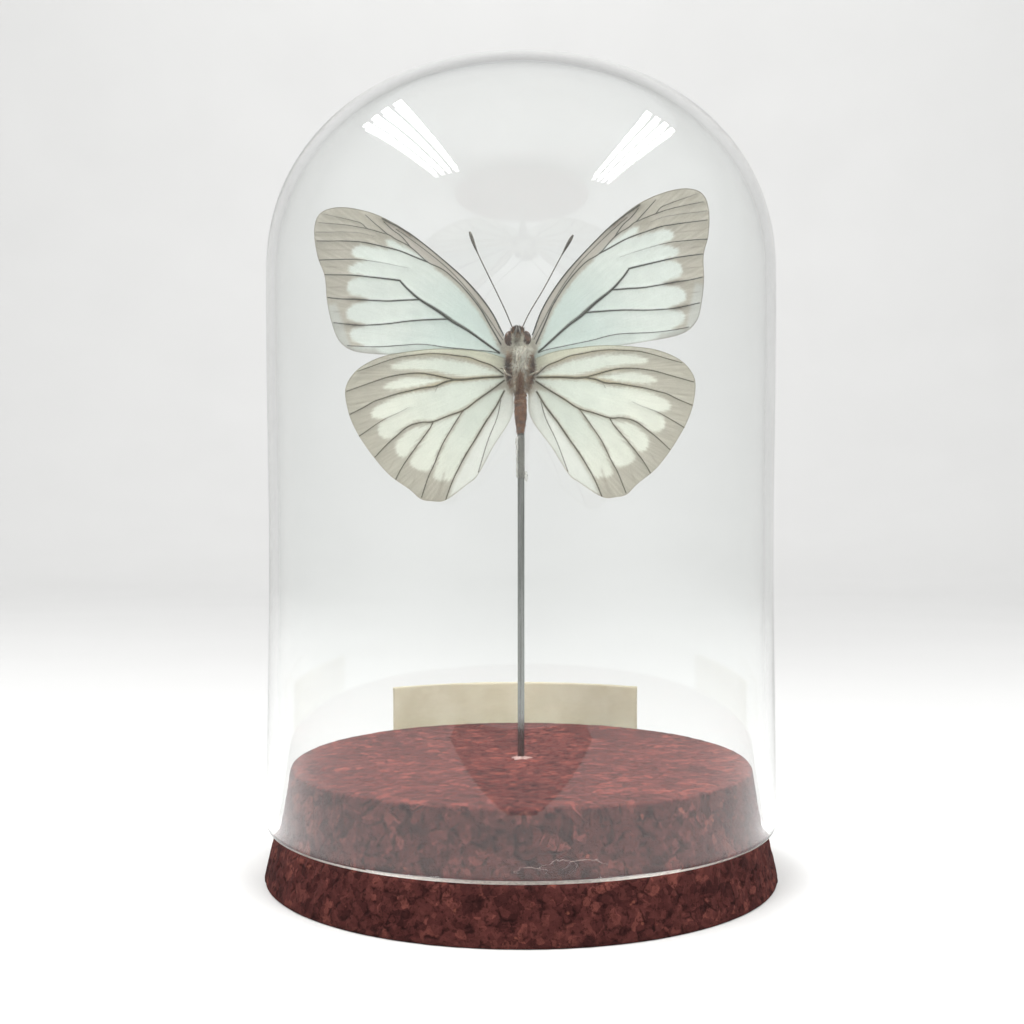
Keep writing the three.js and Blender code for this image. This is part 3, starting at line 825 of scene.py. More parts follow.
def makePin():
    heights = np.linspace(pin["bottom"] + 0.2, pin["taper"], 90)
    body = [(0, pin["bottom"]), (pin["radius"] - 0.12, pin["bottom"])]
    body += [(pin["radius"] + 0.006 * noise.noise(Vector((0, 0, z * 0.4))), z) for z in heights]
    body += [(pin["radius"] + (pin["tipRadius"] - pin["radius"]) * t,
              pin["taper"] + (pin["tip"] - pin["taper"]) * t) for t in np.linspace(0, 1, 12)[1:]]
    body.append((0, pin["tip"] + 0.08))
    verts, faces = turned(body, pin["sides"])
    settle(meshObject("rod", verts, faces, polishedRod), "steel", "pin")


def makeGlue():
    heights = np.linspace(glue["bottom"], glue["top"], glue["rings"])
    outer = []
    for z in heights:
        end = smoothStep(0, 0.5, min(z - glue["bottom"], glue["top"] - z))
        outer.append((glue["inner"] + 0.03 + glue["thickness"] * float(end), z))
    inner = [(glue["inner"], z) for z in heights[::-1]]
    verts, faces = turned(outer + inner, glue["sides"], closed=True)
    radial = np.hypot(verts[:, 0], verts[:, 1])
    skin = radial > glue["inner"] + 0.02
    wobble = 0.5 + 0.5 * noiseAt(verts, 0.8, 2.0) + 0.35 * noiseAt(verts, 2.6, 5.0)
    lean = 1 - 1.6 * verts[:, 0] / radial  # most of it hangs on the left
    spread = np.clip((wobble + 0.3) * lean, 0.2, 3)
    wanted = np.where(skin, glue["inner"] + 0.02 + (radial - glue["inner"] - 0.02) * spread, radial)
    verts[:, :2] *= (wanted / radial)[:, None]
    piece = meshObject("glueSleeve", verts, faces, clearGlue)
    settle(piece, "dried_glue", "glue")
    ball, ballFaces = unitBall(32, 26)
    ball = ball * (1 + 0.16 * noiseAt(ball, 1.7, 4.0))[:, None]
    ball = ball * np.array(glue["dropHalf"]) + np.array(glue["drop"])
    settle(meshObject("glueDrop", ball, ballFaces, clearGlue), "dried_glue")


def makeSmear():
    # the dried upper edges of glue that crept between the cork and the glass, at the front
    turn = np.linspace(-0.25, math.pi + 0.3, 90)
    ring = np.column_stack([np.cos(turn), np.sin(turn), np.zeros(90)])
    fade = np.sin(np.linspace(0.03, math.pi - 0.03, 90)) ** 0.5
    lines = []
    for index, (bearing, height, wide, tall) in enumerate(smear["spots"]):
        edge = 1 + 0.35 * noiseAt(ring, 1.9, index + 1.0) + 0.16 * noiseAt(ring, 5.0, index + 5.0)
        angle = math.radians(bearing) + ring[:, 0] * edge * wide / smear["radius"]
        points = np.column_stack([smear["radius"] * np.cos(angle), smear["radius"] * np.sin(angle),
                                  height + ring[:, 1] * edge * tall])
        thick = smear["thickness"] * (0.7 + 1.1 * noiseAt(ring, 3.2, index + 9.0)) * fade
        lines.append((points, np.clip(thick, 0.02, 0.18)))
    settle(tubes("glueSmear", lines, 8, smearGlue), "dried_glue")


def makeGlueFoot():
    top = cork["height"]
    rings = np.linspace(0, 1, 14)
    profile = [(pin["radius"] + 0.03, top - 0.1)]
    profile += [(glueFoot["radius"] + (pin["radius"] + 0.03 - glueFoot["radius"]) * t,
                 top - 0.1 + (glueFoot["height"] + 0.1) * t**1.6) for t in rings]
    verts, faces = turned(profile, 64, closed=True)
    angle = np.arctan2(verts[:, 1], verts[:, 0])
    ragged = 1 + 0.28 * np.sin(3 * angle + 1.0) + 0.2 * np.sin(5 * angle) + 0.12 * np.sin(11 * angle)
    radial = np.hypot(verts[:, 0], verts[:, 1])
    wanted = pin["radius"] + 0.03 + (radial - pin["radius"] - 0.03) * ragged
    verts[:, :2] *= (wanted / radial)[:, None]
    piece = meshObject("glueCrust", verts, faces, whiteGlue)
    values = {"Density": glueFoot["density"], "Size": glueFoot["size"] * mm, "Seed": glueFoot["seed"],
              "Material": whiteGlue}
    settle(applyTree(piece, crumbNodes, values), "dried_glue", "glue_foot")


makePin()
makeGlue()
makeGlueFoot()
makeSmear()
print("rod and glue made")


# Wings. All points are (outwards, upwards) from the hinge, in the wing's own plane

wing = {"thickness": 0.1, "spacing": 0.18, "dihedral": 4, "camber": 0.5, "pleat": 0.07, "edgeCurl": 0.25}
hinges = {
    "forewing_left": {"side": -1, "at": (-2.71, 1.2, 93.7), "raise": 0},
    "forewing_right": {"side": 1, "at": (1.93, 1.2, 93.7), "raise": 6.6},
    "hindwing_left": {"side": -1, "at": (-2.53, 0.55, 89.3), "raise": 0},
    "hindwing_right": {"side": 1, "at": (2.14, 0.55, 89.1), "raise": 3.7}}

# veins: points, half width at the base and at the tip, darkness at the base and at the tip
forewing = {
    "outline": [
        (0.5, 2.5), (2.9, 7.5), (7.1, 12.6), (12.2, 17.1), (17.6, 21.4), (23.1, 24.7), (28.3, 26.3),
        (32.3, 26.5), (34.9, 25.3), (35.7, 22.3), (35, 17.5), (33.6, 13.8), (33.1, 9.3), (32.2, 5.2),
        (30.8, 1.9), (27.7, -0.1), (20.9, -0.8), (10.2, -1.2), (0.6, -1.6), (-1.5, -1.3), (-1.5, 0.6)],
    "pale": [[
        (1.1, -0.2), (3.1, 3.8), (4.9, 6.7), (7.8, 10.3), (10.4, 12.8), (12.4, 14.3), (15, 17),
        (17.4, 18.2),
        (19.4, 19.3), (21.3, 20.2), (22.1, 19.9), (21.3, 18.9), (20, 18.2), (22.9, 18.6), (25.7, 19.1),
        (27.5, 19), (28.3, 18.2), (27.7, 17.2), (25.5, 16.5), (27.7, 15.9), (29, 15), (28.3, 14.1),
        (26.2, 13.6), (28.5, 12.9), (29.2, 11.6), (28.5, 10.4), (25.3, 9.2), (28.3, 8.3), (29.4, 6.9),
        (28.5, 5.7), (25.7, 4.7), (27.9, 4.1), (28.7, 3.1), (28.1, 1.9), (26.2, 0.9), (28.3, 0.4),
        (26.8, -0.5), (20.9, -1.1), (10.2, -1.5), (0.4, -1.8)]],
    "costal": [[
        (0.2, 2.7), (2.9, 7.7), (7.1, 12.8), (12.2, 17.3), (17.6, 21.6), (20.9, 23.5), (22.4, 22.1),
        (19.8, 20.1), (17.4, 18.5), (14.3, 16), (12, 14.9), (10.2, 13.6), (7.6, 11.1), (4.7, 7.5),
        (2.9, 4.4), (0.9, 0.9)]],
    "streaks": [
        ([(15.5, 19.4), (18.4, 21.6), (20.9, 23.1), (23.6, 24.4)], 0.5, 0.9),
        ([(25, 9.2), (27.3, 9.35), (29.6, 9.5)], 0.42, 0.75),
        ([(26, 4.65), (28, 4.75), (30, 5)], 0.42, 0.75)],
    "folds": [
        [(28.5, 18.4), (31.5, 18.5), (34.6, 18.5)], [(30.5, 15.3), (32.5, 15.4), (34, 15.4)],
        [(29.7, 11.6), (31.5, 11.7), (33, 11.7)], [(30.2, 7.2), (31.4, 7.2), (32.3, 7.3)]],
    "golden": [],
    "clear": [[(20, -2), (24, 0.6), (28.4, 0.7), (29.8, 5), (31.2, 9), (33.4, 8.5), (32, 0), (28, -1.5)]],
    "veins": [
        ([(0.4, 2.6), (2.9, 7.3), (7.1, 12.4), (12.2, 17), (17.6, 21.2),
          (22.7, 24.2)], 0.13, 0.1, 0.8, 0.7),
        ([(0.6, 1.8), (3.5, 6.2), (6.4, 10.2), (9.9, 14.1), (13.5, 17.2), (17.2, 20), (20.1, 22.1)],
         0.06, 0.06, 0.45, 0.4),
        ([(0.9, 1), (2.9, 4.4), (4.7, 7.5), (7.6, 11.1), (10.2, 13.6), (12, 14.9), (14.3, 16),
          (17.4, 18.7),
          (20.3, 20.3), (21.6, 21.1), (25.5, 22.3), (29.2, 23.1), (34.8, 23.8)], 0.1, 0.05, 0.75, 0.35),
        ([(21.6, 21.1), (24.4, 23.6), (25.8, 24.9)], 0.06, 0.05, 0.6, 0.45),
        ([(25.5, 22.3), (26.5, 23.3), (28.1, 23.9), (33.8, 25.4)], 0.05, 0.04, 0.5, 0.25),
        ([(17.4, 18.7), (19, 20.6), (20.9, 22.1), (22.4, 23.6)], 0.06, 0.05, 0.6, 0.5),
        ([(24.2, 20.8), (26.6, 21.5), (29.9, 21.8), (35.3, 22)], 0.04, 0.04, 0.1, 0.35),
        ([(14.3, 16), (16.1, 16.7), (19.5, 18.1), (22.9, 19), (25.8, 19.7), (28.6, 20), (35.1, 20.3)],
         0.1, 0.06, 0.85, 0.5),
        ([(17.8, 14.9), (19.5, 15.3), (22.9, 16), (26, 16.5), (28.6, 16.7),
          (34.6, 16.7)], 0.03, 0.06, 0.05, 0.75),
        ([(1.2, -0.5), (4, 1.4), (7.3, 3.8), (10.2, 5.6), (12.8, 7.4), (15.7, 9.2), (17.7, 10.9),
          (19.4, 12.7)],
         0.16, 0.15, 0.95, 0.85),
        ([(2.2, 0.2), (5, 2.2), (7.3, 3.8), (9.5, 5.1), (11, 6.15)], 0.13, 0.4, 0.95, 0.95),
        ([(10.2, 5.6), (12.8, 7.4), (15.7, 9.2), (17.7, 10.9), (19, 12.2)], 0.4, 0.14, 0.95, 0.9),
        ([(19.4, 12.7), (21.6, 13), (24.9, 13.4), (28.4, 13.8), (33.5, 14)], 0.16, 0.06, 0.9, 0.55),
        ([(15.7, 9.2), (18.7, 9.1), (21.6, 9), (25.2, 9.2), (27.5, 9.4), (30.2, 9.5), (32.9, 9.8)],
         0.14, 0.07, 0.85, 0.6),
        ([(10.2, 5.6), (12.1, 5.6), (14.8, 5.5), (17.8, 5.3), (21.3, 4.9), (24.4, 4.7), (27.5, 4.7),
          (31.8, 5.2)],
         0.13, 0.07, 0.85, 0.6),
        ([(1.1, -0.7), (2.7, -0.3), (5.8, 0), (11, 0.5), (13.5, 0.9), (16.1, 1.1), (19.5, 0.9),
          (23.1, 0.7),
          (26.6, 0.8), (29.2, 1)], 0.06, 0.05, 0.5, 0.5)]}
hindwing = {
    "outline": [
        (0.5, 2.9), (4.9, 4.1), (12.2, 4.6), (18.8, 4), (23.2, 3.1), (26.9, 1.3), (29.1, -1.1),
        (29.7, -3.8),
        (28.5, -8.5), (25.8, -13.1), (21.7, -18), (17.7, -20.9), (15.7, -22.6), (13.7, -23),
        (11.1, -22.8),
        (7.1, -19.9), (5.3, -18.3), (2.5, -13.2), (-0.9, -7.6), (-1.1, -2.9), (-1.1, 2)],
    "pale": [
        [(1.5, 0.2), (3.8, 1), (6.7, 1.9), (9.5, 2.4), (12.2, 2.7), (15, 2.8), (17.7, 2.6), (19.9, 2.1),
         (21.2, 1.4), (19.9, 0.9), (17.7, 0.9), (15.9, 0.9), (13.1, 0.6), (10.4, 0), (7.6, -0.4),
         (4, -0.2),
         (1.1, -0.2)],
        [(11.7, -1.1), (13.7, -0.8), (16.2, -0.6), (18.8, -0.8), (21, -1.4), (22.4, -2.4), (21, -2.7),
         (18.8, -2.5), (16.2, -2.1), (13.7, -1.6)],
        [(0.7, -1), (4.7, -1.1), (7.8, -1.4), (10, -1.6), (12.6, -2.7), (15.1, -3.1), (17.7, -3.5),
         (19.9, -4.1),
         (22.1, -4.9), (23.8, -5.8), (24.8, -7), (24.2, -7.9), (22.1, -8.1), (23.2, -9.1),
         (23.5, -10.4),
         (22.8, -11.4), (21.4, -11.5), (19.9, -10.5), (18.6, -9.4), (17.2, -8.6), (15.1, -8.3),
         (13.3, -8.2),
         (10.6, -7.1), (7.9, -6), (5.3, -4.2), (2.9, -2.4)],
        [(14, -9.2), (15.9, -9.5), (17.5, -10), (19, -11.2), (20.1, -12.5), (20.3, -13.5),
         (19.7, -14.7),
         (18.6, -14.9), (17.5, -13.9), (16.1, -11.8), (14.6, -10.1)],
        [(13.3, -9.1), (14.2, -10.6), (15.7, -12.8), (17.2, -14.8), (17.5, -16.1), (16.6, -17.1),
         (15, -17.6),
         (13.8, -17.2), (13.3, -15.9), (12.2, -13.2), (10.6, -10.4), (8.7, -7.5), (10.6, -8)],
        [(7.7, -6.9), (8.9, -8.8), (10.2, -10.9), (11.5, -13.3), (12.6, -15.9), (13.3, -18.1),
         (12.8, -19),
         (11.3, -19.3), (9.8, -18.8), (8.9, -16.8), (7.5, -14.3), (5.5, -10.8), (3.5, -7.6), (2, -5.4),
         (0.7, -2.9), (3.1, -3.5), (5.1, -5)]],
    "costal": [[
        (0.7, 0.6), (4.7, 2.5), (9.1, 3.5), (14, 4), (18, 3.7), (18.8, 4.4), (12.2, 4.9), (4.9, 4.5),
        (0.5, 3.2)]],
    "streaks": [([(11.3, -17.3), (11.8, -19.7), (12.6, -22.6)], 0.25, 0.55)],
    "folds": [
        [(27, -1), (28.4, -1.6)], [(25.6, -5), (28.6, -5.4)], [(25.2, -8.4), (27.6, -9.3)],
        [(23.6, -12), (25.6, -13)], [(20.4, -15.4), (21.8, -17.6)], [(16.6, -18), (17.4, -20.8)]],
    "golden": [
        ([(2.7, 1.5), (4.7, 2.2), (9.1, 3.3), (14, 3.7), (19.6, 3.1)], 0.3, 0.5),
        ([(1.5, -0.5), (4.7, -0.7), (9.5, -1), (13.7, -0.1), (18.1, 0.1)], 0.34, 0.75),
        ([(8.5, -1), (11.4, -1.5), (15.4, -2.5), (19.9, -3.5)], 0.3, 0.7),
        ([(5.2, -4.6), (7.8, -6.5), (10.5, -7.5), (13.4, -8.6)], 0.22, 0.35)],
    "clear": [
        [(0.4, -2.5), (1.8, -5.6), (4.2, -9.4), (7.5, -15), (10, -19.9), (10.9, -22.8), (7.1, -20.4),
         (4.9, -18.5),
         (2.1, -13.4), (-1.6, -7.6), (-1.2, -4)]],
    "veins": [
        ([(0.7, 0), (2.7, 1.5), (4.7, 2.2), (6.9, 3), (9.1, 3.3), (11.4, 3.6), (14, 3.7), (17.2, 3.4),
          (19.6, 3.1),
          (22.1, 2.4), (24.1, 1.7), (27.4, 0.6)], 0.1, 0.06, 0.75, 0.5),
        ([(0.7, -0.5), (4.7, -0.7), (7.8, -1), (9.5, -1)], 0.16, 0.18, 0.95, 0.95),
        ([(9.5, -1), (11.4, -0.6), (13.7, -0.1), (15.9, 0.2), (18.1, 0.1), (20.3, -0.2), (22.5, -0.7),
          (25.2, -1.6),
          (29.4, -3)], 0.13, 0.06, 0.9, 0.6),
        ([(9.5, -1), (11.4, -1.5), (13.1, -2.2), (15.4, -2.5), (17.6, -3), (19.9, -3.5), (22.5, -4.3),
          (24.3, -4.9),
          (26.3, -6), (28.8, -7.2)], 0.15, 0.06, 0.9, 0.65),
        ([(12.6, -2.1), (13, -3.2)], 0.05, 0.03, 0.4, 0.1),
        ([(17.7, -5.9), (19.6, -6.9), (22.1, -8), (24.1, -9.2), (27.1, -11.2)], 0.03, 0.06, 0.05, 0.8),
        ([(0.5, -1.2), (2.5, -2.7), (5.2, -4.6), (7.8, -6.5), (10.5, -7.5), (13.4, -8.6),
          (15.4, -8.7), (17.2, -9.1)],
         0.12, 0.09, 0.9, 0.85),
        ([(17.2, -9.1), (18.5, -9.8), (20.3, -11.3), (22.1, -12.9),
          (24.1, -15)], 0.1, 0.06, 0.85, 0.65),
        ([(13.4, -8.6), (14, -9.8), (15.4, -11.7), (17.2, -14.1), (19, -16.7),
          (20.3, -19.1)], 0.07, 0.06, 0.8, 0.7),
        ([(7.8, -6.5), (8.5, -7.4), (10.3, -10.3), (11.8, -12.9), (13.1, -16.1), (14.3, -18.7),
          (15.5, -22.3)],
         0.06, 0.06, 0.75, 0.75),
        ([(0.5, -3.1), (2, -5.9), (3.8, -8.6), (5.8, -11.9), (7.8, -15.2), (9.8, -19.2), (11.1, -22.7)],
         0.13, 0.07, 0.95, 0.7),
        ([(1.1, -4.7), (1.8, -7.9), (3.4, -11.9), (4.5, -15.4), (5.2, -17.8)], 0.04, 0.04, 0.5, 0.45)]}


def wingPlate(spec):
    # a flat net of triangles inside the outline, finer than the marks on it
    space = wing["spacing"]
    edge = smoothLine(spec["outline"], space, closed=True)
    low, high = edge.min(0), edge.max(0)
    xs = np.arange(low[0], high[0], space)
    ys = np.arange(low[1], high[1], space * 0.87)
    gx, gy = np.meshgrid(xs, ys)
    gx = gx + (np.arange(len(ys)) % 2)[:, None] * space / 2
    grid = np.column_stack([gx.ravel(), gy.ravel()])
    grid = grid[insideDistance(grid, edge) > 0.55 * space]
    points = [Vector(p) for p in np.vstack([edge, grid])]
    count = len(edge)
    ring = [(i, (i + 1) % count) for i in range(count)]
    verts, _, faces, _, _, _ = delaunay_2d_cdt(points, ring, [], 1, 1e-6)
    flat = np.array([tuple(v) for v in verts])
    turns = []
    for a, b, c in faces:
        ab, ac = flat[b] - flat[a], flat[c] - flat[a]
        turns.append((a, b, c) if ab[0] * ac[1] - ab[1] * ac[0] > 0 else (a, c, b))
    return flat, turns, edge


def wingMarks(spec, flat, edge):
    # how strongly each mark shows at every point
    count = len(flat)
    solid = np.column_stack([flat, np.zeros(count)])
    reach = np.hypot(flat[:, 0], flat[:, 1])
    bearing = np.arctan2(flat[:, 1], flat[:, 0] + 3)
    # rows of scales run out from the root
    rows = np.column_stack([bearing * 34, reach * 0.11, np.zeros(count)])
    fibre = 0.45 * noiseAt(rows, 2.2, 4.0) + 0.45 * noiseAt(rows * (5.5, 1.6, 1), 1.0, 8.0)
    ragged = 0.2 * noiseAt(solid, 1.4, 2.0) + 0.14 * noiseAt(solid, 4.5, 9.0) + 0.4 * fibre

    def patches(outlines, low, high, uneven):
        shown = np.zeros(count)
        for outline in outlines:
            shown = np.maximum(shown, smoothStep(low, high, insideDistance(flat, outline) + uneven))
        return shown

    def fromLine(points):
        return lineDistance(flat, smoothLine(points, 0.3))

    pale = patches([smoothLine(p, 0.3, True) for p in spec["pale"]], -0.45, 0.4, ragged)
    costal = patches([np.array(p) for p in spec["costal"]], -0.3, 0.4, 0.3 * ragged)
    costal *= np.clip(0.85 + 0.7 * fibre, 0.5, 1)
    clear = patches([np.array(p) for p in spec["clear"]], -0.3, 0.7, 0.4 * ragged)
    vein, pleat, golden, streak = np.zeros((4, count))
    for points, start, end, darkStart, darkEnd in spec["veins"]:
        distance, along = fromLine(points)
        half = start + (end - start) * along
        dark = darkStart + (darkEnd - darkStart) * along
        vein = np.maximum(vein, dark * smoothStep(half + 0.11, half * 0.4, distance))
        pleat = np.maximum(pleat, bell(distance, 0.6))
    for points, width, strength in spec["golden"]:
        distance, along = fromLine(points)
        golden = np.maximum(golden, 0.7 * strength * bell(distance, width) * (1 - 0.8 * along**3))
    for points, width, strength in spec["streaks"]:
        distance, along = fromLine(points)
        fade = np.sin(np.clip(along, 0.02, 0.98) * math.pi) ** 0.6
        spotted = np.clip(0.75 + 1.2 * fibre + 2 * ragged, 0.2, 1.1)
        streak = np.maximum(streak, strength * fade * spotted * bell(distance, width))
    for points in spec["folds"]:
        distance, along = fromLine(points)
        fade = np.sin(np.clip(along, 0.1, 0.9) * math.pi)
        streak = np.maximum(streak, 0.4 * fade * bell(distance, 0.09))
    rim = insideDistance(flat, edge)
    fringe = 0.6 * bell(rim, 0.13) * smoothStep(4, 12, reach)  # the dark line along the margin
    streak = np.maximum(streak, fringe)
    marks = {"pale": pale, "costal": costal, "clear": clear, "vein": vein, "golden": golden,
             "streak": streak, "fibre": np.clip(0.5 + 1.1 * fibre, 0, 1),
             "warm": smoothStep(9, 23, reach + 4 * fibre)}
    return marks, pleat, rim


def wingPlace(name, flat, depth):
    # from the wing's plane to where the wing stands
    hinge = hinges[name]
    tilt, raised = math.radians(wing["dihedral"]), math.radians(hinge["raise"])
    out = flat[:, 0] * math.cos(raised) - flat[:, 1] * math.sin(raised)
    up = flat[:, 0] * math.sin(raised) + flat[:, 1] * math.cos(raised)
    camber = wing["camber"] * np.sin(np.clip(out / 36, 0, 1) * math.pi)
    back = depth - camber
    x = out * math.cos(tilt) - back * math.sin(tilt)
    y = out * math.sin(tilt) + back * math.cos(tilt)
    return np.column_stack([hinge["side"] * x, y, up]) + np.array(hinge["at"])


def makeWing(name, spec, plate, marked, material, veinMaterial):
    flat, faces, edge = plate
    marks, pleat, rim = marked
    side = hinges[name]["side"]
    solid = np.column_stack([flat, np.zeros(len(flat))])
    wave = 0.12 * noiseAt(solid, 0.12, 6.0 + side) + 0.04 * noiseAt(solid, 0.5, 3.0 + side)
    curl = wing["edgeCurl"] * np.exp(-rim / 1.2) * noiseAt(solid, 0.18, 1.0 + side)
    depth = wave + curl - wing["pleat"] * pleat
    half = wing["thickness"] / 2 * smoothStep(-0.1, 0.4, rim)
    front = wingPlace(name, flat, depth - half - 0.01)
    rear = wingPlace(name, flat, depth + half + 0.01)
    count = len(flat)
    skin = list(faces) + [(count + c, count + b, count + a) for a, b, c in faces]
    ring = len(edge)
    for i in range(ring):
        j = (i + 1) % ring
        skin.append((j, i, count + i, count + j))
    if side < 0:
        skin = [f[::-1] for f in skin]
    both = {key: np.concatenate([value, value]) for key, value in marks.items()}
    piece = meshObject(name + "_membrane", np.vstack([front, rear]), skin, material, attributes=both)
    settle(piece, "wing", name)
    lines = []
    for points, start, end, darkStart, darkEnd in spec["veins"]:
        line = smoothLine(points, 0.35)
        nearest = np.array([np.argmin(((flat - p) ** 2).sum(1)) for p in line])
        along = np.linspace(0, 1, len(line))
        strength = np.clip(darkStart + (darkEnd - darkStart) * along, 0.3, 1)
        radii = (0.035 + 0.42 * (start + (end - start) * along)) * strength + wing["thickness"] / 2
        lines.append((wingPlace(name, line, depth[nearest]), radii))
    settle(tubes(name + "_veins", lines, 8, veinMaterial), "wing")


def makeWings():
    kinds = (("forewing", forewing, forewingSkin, forewingVein),
             ("hindwing", hindwing, hindwingSkin, hindwingVein))
    for kind, spec, material, veinMaterial in kinds:
        plate = wingPlate(spec)
        flat, _, edge = plate
        marked = wingMarks(spec, flat, edge)
        for side in ("left", "right"):
            makeWing("%s_%s" % (kind, side), spec, plate, marked, material, veinMaterial)
        print(kind, len(flat), "points")


makeWings()
print("wings made")


# The body

thorax = {"centre": (-0.15, -0.3, 90.2), "half": (1.9, 2.1, 4.35), "hairs": 1.2e8, "hairLength": 1.15}
head = {"centre": (-0.6, -0.4, 95.7), "half": (1.5, 1.6, 1.75), "hairs": 1.5e8, "hairLength": 0.6}
eyes = {"offset": 1.5, "drop": 0.15, "half": (0.9, 1.3, 1.35), "raise": 0.02}
abdomen = {"top": 87.2, "end": 78.6, "rings": 8, "hairs": 0.6e8, "hairLength": 0.4}
antennae = {
    "antenna_left": [
        (-1.5, -0.2, 97.4), (-3.1, 0, 101.2), (-5.9, 0.2, 107), (-8.05, 0.3, 111.5),
        (-9.3, 0.3, 114.9)],
    "antenna_right": [
        (0.2, -0.2, 97.5), (1.6, 0, 100.4), (4.1, 0.2, 104.6), (7, 0.3, 110), (9.4, 0.3, 114.3)]}
legs = [
    [(0.72, -2.0, 94), (-0.1, -2.45, 92.2), (-0.41, -2.55, 91.0), (-0.9, -2.4, 89.1),
     (-1.0, -2.0, 87.6)],
    [(1.2, -1.9, 93), (0.85, -2.35, 91.6), (0.5, -2.5, 90.2), (0.75, -2.3, 87.7)],
    [(-1.44, -1.7, 93.4), (-1.35, -2.1, 91), (-1.3, -2.1, 88.4), (-1.0, -1.8, 86)],
    [(-0.5, -2.2, 93.2), (-0.75, -2.5, 91.3), (-0.7, -2.4, 88.6)],
    [(-1.6, -1.8, 88.7), (-2.7, -2.05, 89.1), (-3.15, -1.9, 89.9), (-3.8, -1.7, 90.1)],
    [(1.3, -1.8, 88.7), (2.4, -2.05, 89.2), (3.0, -1.9, 89.4), (3.75, -1.7, 90.3)]]


def furred(name, verts, faces, tone, fur, spec, comb, wild, seed, slot, node):
    # the bare form, and a coat of hairs over it
    base = meshObject(name, verts, faces, bodyFur, attributes={"tone": tone, "fur": fur})
    coat = base.copy()
    coat.data = base.data.copy()
    coat.name = name + "_hairs"
    bpy.context.scene.collection.objects.link(coat)
    settle(base, slot, node)
    values = {"Density": spec["hairs"], "Length": spec["hairLength"] * mm, "Width": 0.055 * mm,
              "Comb": comb, "Wild": wild, "Seed": seed, "Material": bodyFur}
    settle(applyTree(coat, hairNodes, values), slot)


def makeThorax():
    unit, faces = unitBall(72, 60)
    flank = np.maximum(np.abs(unit[:, 2]), np.hypot(unit[:, 0], unit[:, 1]))
    unit = unit / flank[:, None] ** 0.5  # a barrel rather than an egg
    unit[:, :2] *= (1 - 0.32 * smoothStep(-0.15, -1.0, unit[:, 2]))[:, None]  # narrowing to the waist
    lumps = 1 + 0.06 * noiseAt(unit, 2.6, 1.0) + 0.03 * noiseAt(unit, 6.0, 4.0)
    verts = unit * lumps[:, None] * np.array(thorax["half"]) + np.array(thorax["centre"])
    x, z = verts[:, 0] + 0.15, verts[:, 2]
    grain = 0.14 * noiseAt(verts, 1.4, 7.0) + 0.2 * noiseAt(verts * (3, 1, 0.6), 1.0, 3.0)
    middle = bell(x, 0.9)
    sides = bell(np.abs(x) - 1.7, 0.45) * smoothStep(93.6, 92, z)
    tone = 0.81 + 0.1 * middle - 0.6 * sides + grain
    brown = middle * smoothStep(91.2, 88.6, z)
    tone = tone * (1 - brown) + 0.42 * brown
    tone -= 0.2 * smoothStep(92.5, 94, z) * bell(x + 2, 0.8)
    fur = np.clip(0.35 + 0.65 * np.abs(x) / 2, 0, 1) * (1 - 0.6 * brown)
    furred("thoraxBody", verts, faces, tone, fur, thorax, (0, -0.2, -1.0), 1.0, 11, "fur", "thorax")
    lines = []
    for points in legs:
        line = smoothLine(points, 0.18)
        t = np.linspace(0, 1, len(line))
        lines.append((line, 0.2 - 0.09 * t + 0.03 * np.sin(t * 9) ** 2))
    settle(tubes("legs", lines, 10, legSkin), "fur")


def makeHead():
    unit, faces = unitBall(60, 48)
    centre = np.array(head["centre"])
    verts = unit * (1 + 0.05 * noiseAt(unit, 3.0, 2.0))[:, None] * np.array(head["half"]) + centre
    x, z = verts[:, 0] - centre[0], verts[:, 2] - centre[2]
    tone = 0.66 + 0.25 * bell(np.abs(x) - 0.7, 0.2) - 0.5 * smoothStep(0.1, 1.2, z)
    tone += 0.25 * smoothStep(-0.7, -1.3, z)
    tone += 0.15 * noiseAt(verts, 2.2, 5.0)
    fur = 0.9 * smoothStep(1.25, 0.55, np.abs(x))  # bare round the eyes
    furred("headBody", verts, faces, tone, fur, head, (0, -0.3, 0.25), 0.7, 23, "fur", "head")
    lines = []
    for side in (-1, 1):
        root = np.array([centre[0] + 0.4 * side, centre[1] - 1.1, centre[2] - 0.3])
        points = [root, root + (0.05 * side, -0.45, 0.8), root + (-0.15 * side, -0.35, 1.6),
                  root + (-0.2 * side, 0, 2.2)]
        line = smoothLine(points, 0.12)
        t = np.linspace(0, 1, len(line))
        lines.append((line, 0.28 * np.sqrt(np.clip(1 - t**3, 0.03, 1))))
    settle(tubes("palps", lines, 12, antennaSkin), "fur")


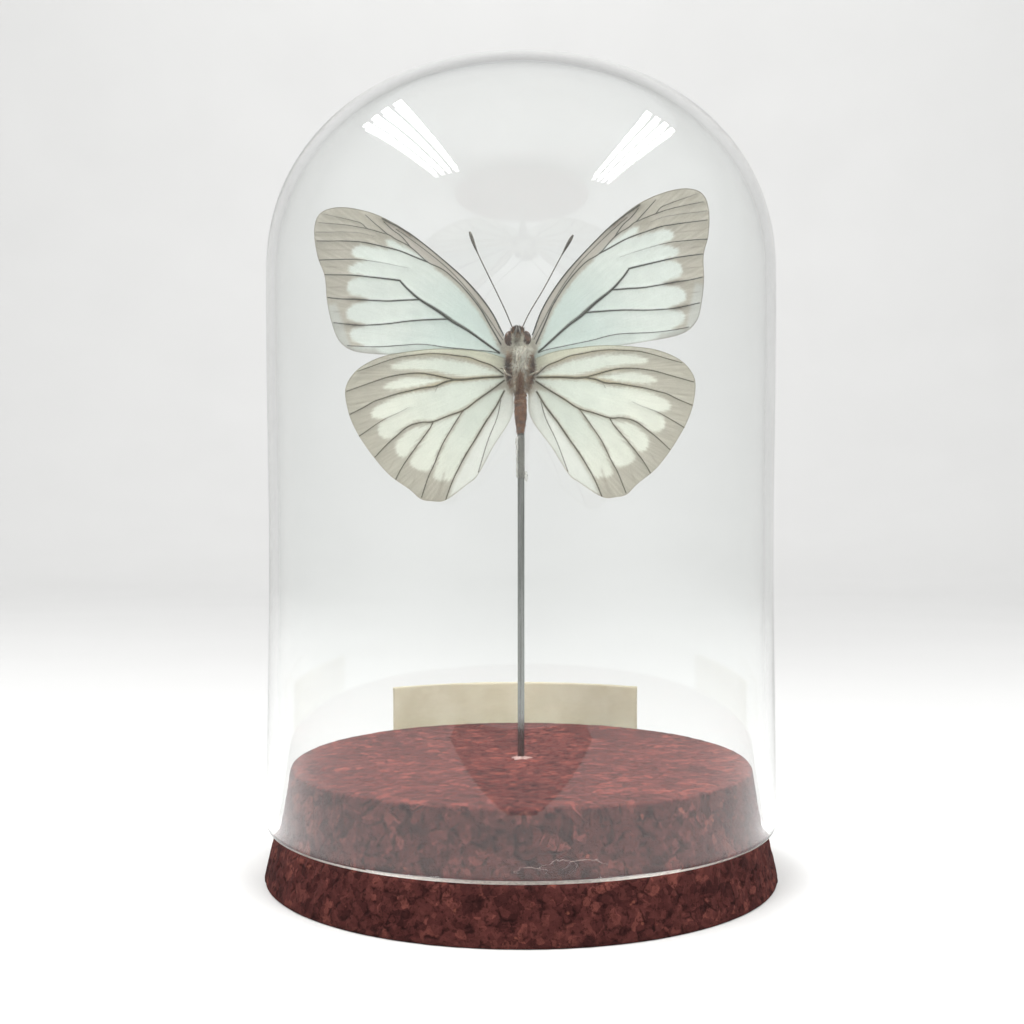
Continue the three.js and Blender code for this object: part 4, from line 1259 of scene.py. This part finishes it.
def makeEyes():
    for side, name in ((-1, "eye_left"), (1, "eye_right")):
        ball = bpy.data.meshes.new(name + "_lenses")
        build = bmesh.new()
        bmesh.ops.create_icosphere(build, subdivisions=4, radius=1)
        build.to_mesh(ball)
        build.free()
        coords = np.array([v.co for v in ball.vertices])
        x, y, z = head["centre"]
        place = np.array([x + side * eyes["offset"], y, z - eyes["drop"]])
        coords = (coords * np.array(eyes["half"]) + place) * mm
        ball.vertices.foreach_set("co", coords.astype(np.float32).ravel())
        values = {"Raise": eyes["raise"] * mm, "Material": eyeSkin}
        settle(applyTree(linked(name + "_lenses", ball), facetNodes, values), "eye", name)


def makeAbdomen():
    profile = [(0, abdomen["end"] - 0.02)]
    for t in np.linspace(0, 1, 120):
        z = abdomen["end"] + (abdomen["top"] - abdomen["end"]) * t
        girth = 0.62 + 0.36 * smoothStep(0, 0.45, t) - 0.12 * smoothStep(0.8, 1, t)
        segment = 0.06 * abs(math.sin(t * math.pi * abdomen["rings"])) ** 0.6
        profile.append((float(girth) + segment - 0.03, z))
    profile.append((0, abdomen["top"] + 0.02))
    verts, faces = turned(profile, 48)
    shrink = 1 + 0.09 * noiseAt(verts, 0.9, 3.0) + 0.05 * noiseAt(verts, 2.4, 6.0)
    verts[:, :2] *= shrink[:, None]
    verts[:, 1] = verts[:, 1] * 1.12 - 0.1
    verts[:, 0] -= 0.08
    t = (verts[:, 2] - abdomen["end"]) / (abdomen["top"] - abdomen["end"])
    banded = 0.05 * np.sin(t * math.pi * abdomen["rings"] * 2)
    tone = 0.36 + banded + 0.14 * noiseAt(verts, 1.3, 9.0) + 0.08 * t
    fur = np.full(len(verts), 0.5)
    furred("abdomenBody", verts, faces, tone, fur, abdomen, (0, 0, -1.6), 0.35, 31, "abdomen", "abdomen")


def makeAntennae():
    for name, points in antennae.items():
        line = smoothLine(points, 0.08)
        t = np.linspace(0, 1, len(line))
        ringed = 0.105 + 0.012 * np.sin(np.arange(len(line)) * 1.26)
        blunt = np.sqrt(np.clip(1 - smoothStep(0.95, 1.0, t) * 0.85, 0.05, 1))
        club = 0.2 * smoothStep(0.76, 0.92, t) * blunt
        settle(tubes(name + "_stem", [(line, ringed + club)], 12, antennaSkin), "antenna", name)


makeThorax()
makeHead()
makeEyes()
makeAbdomen()
makeAntennae()
print("body made")
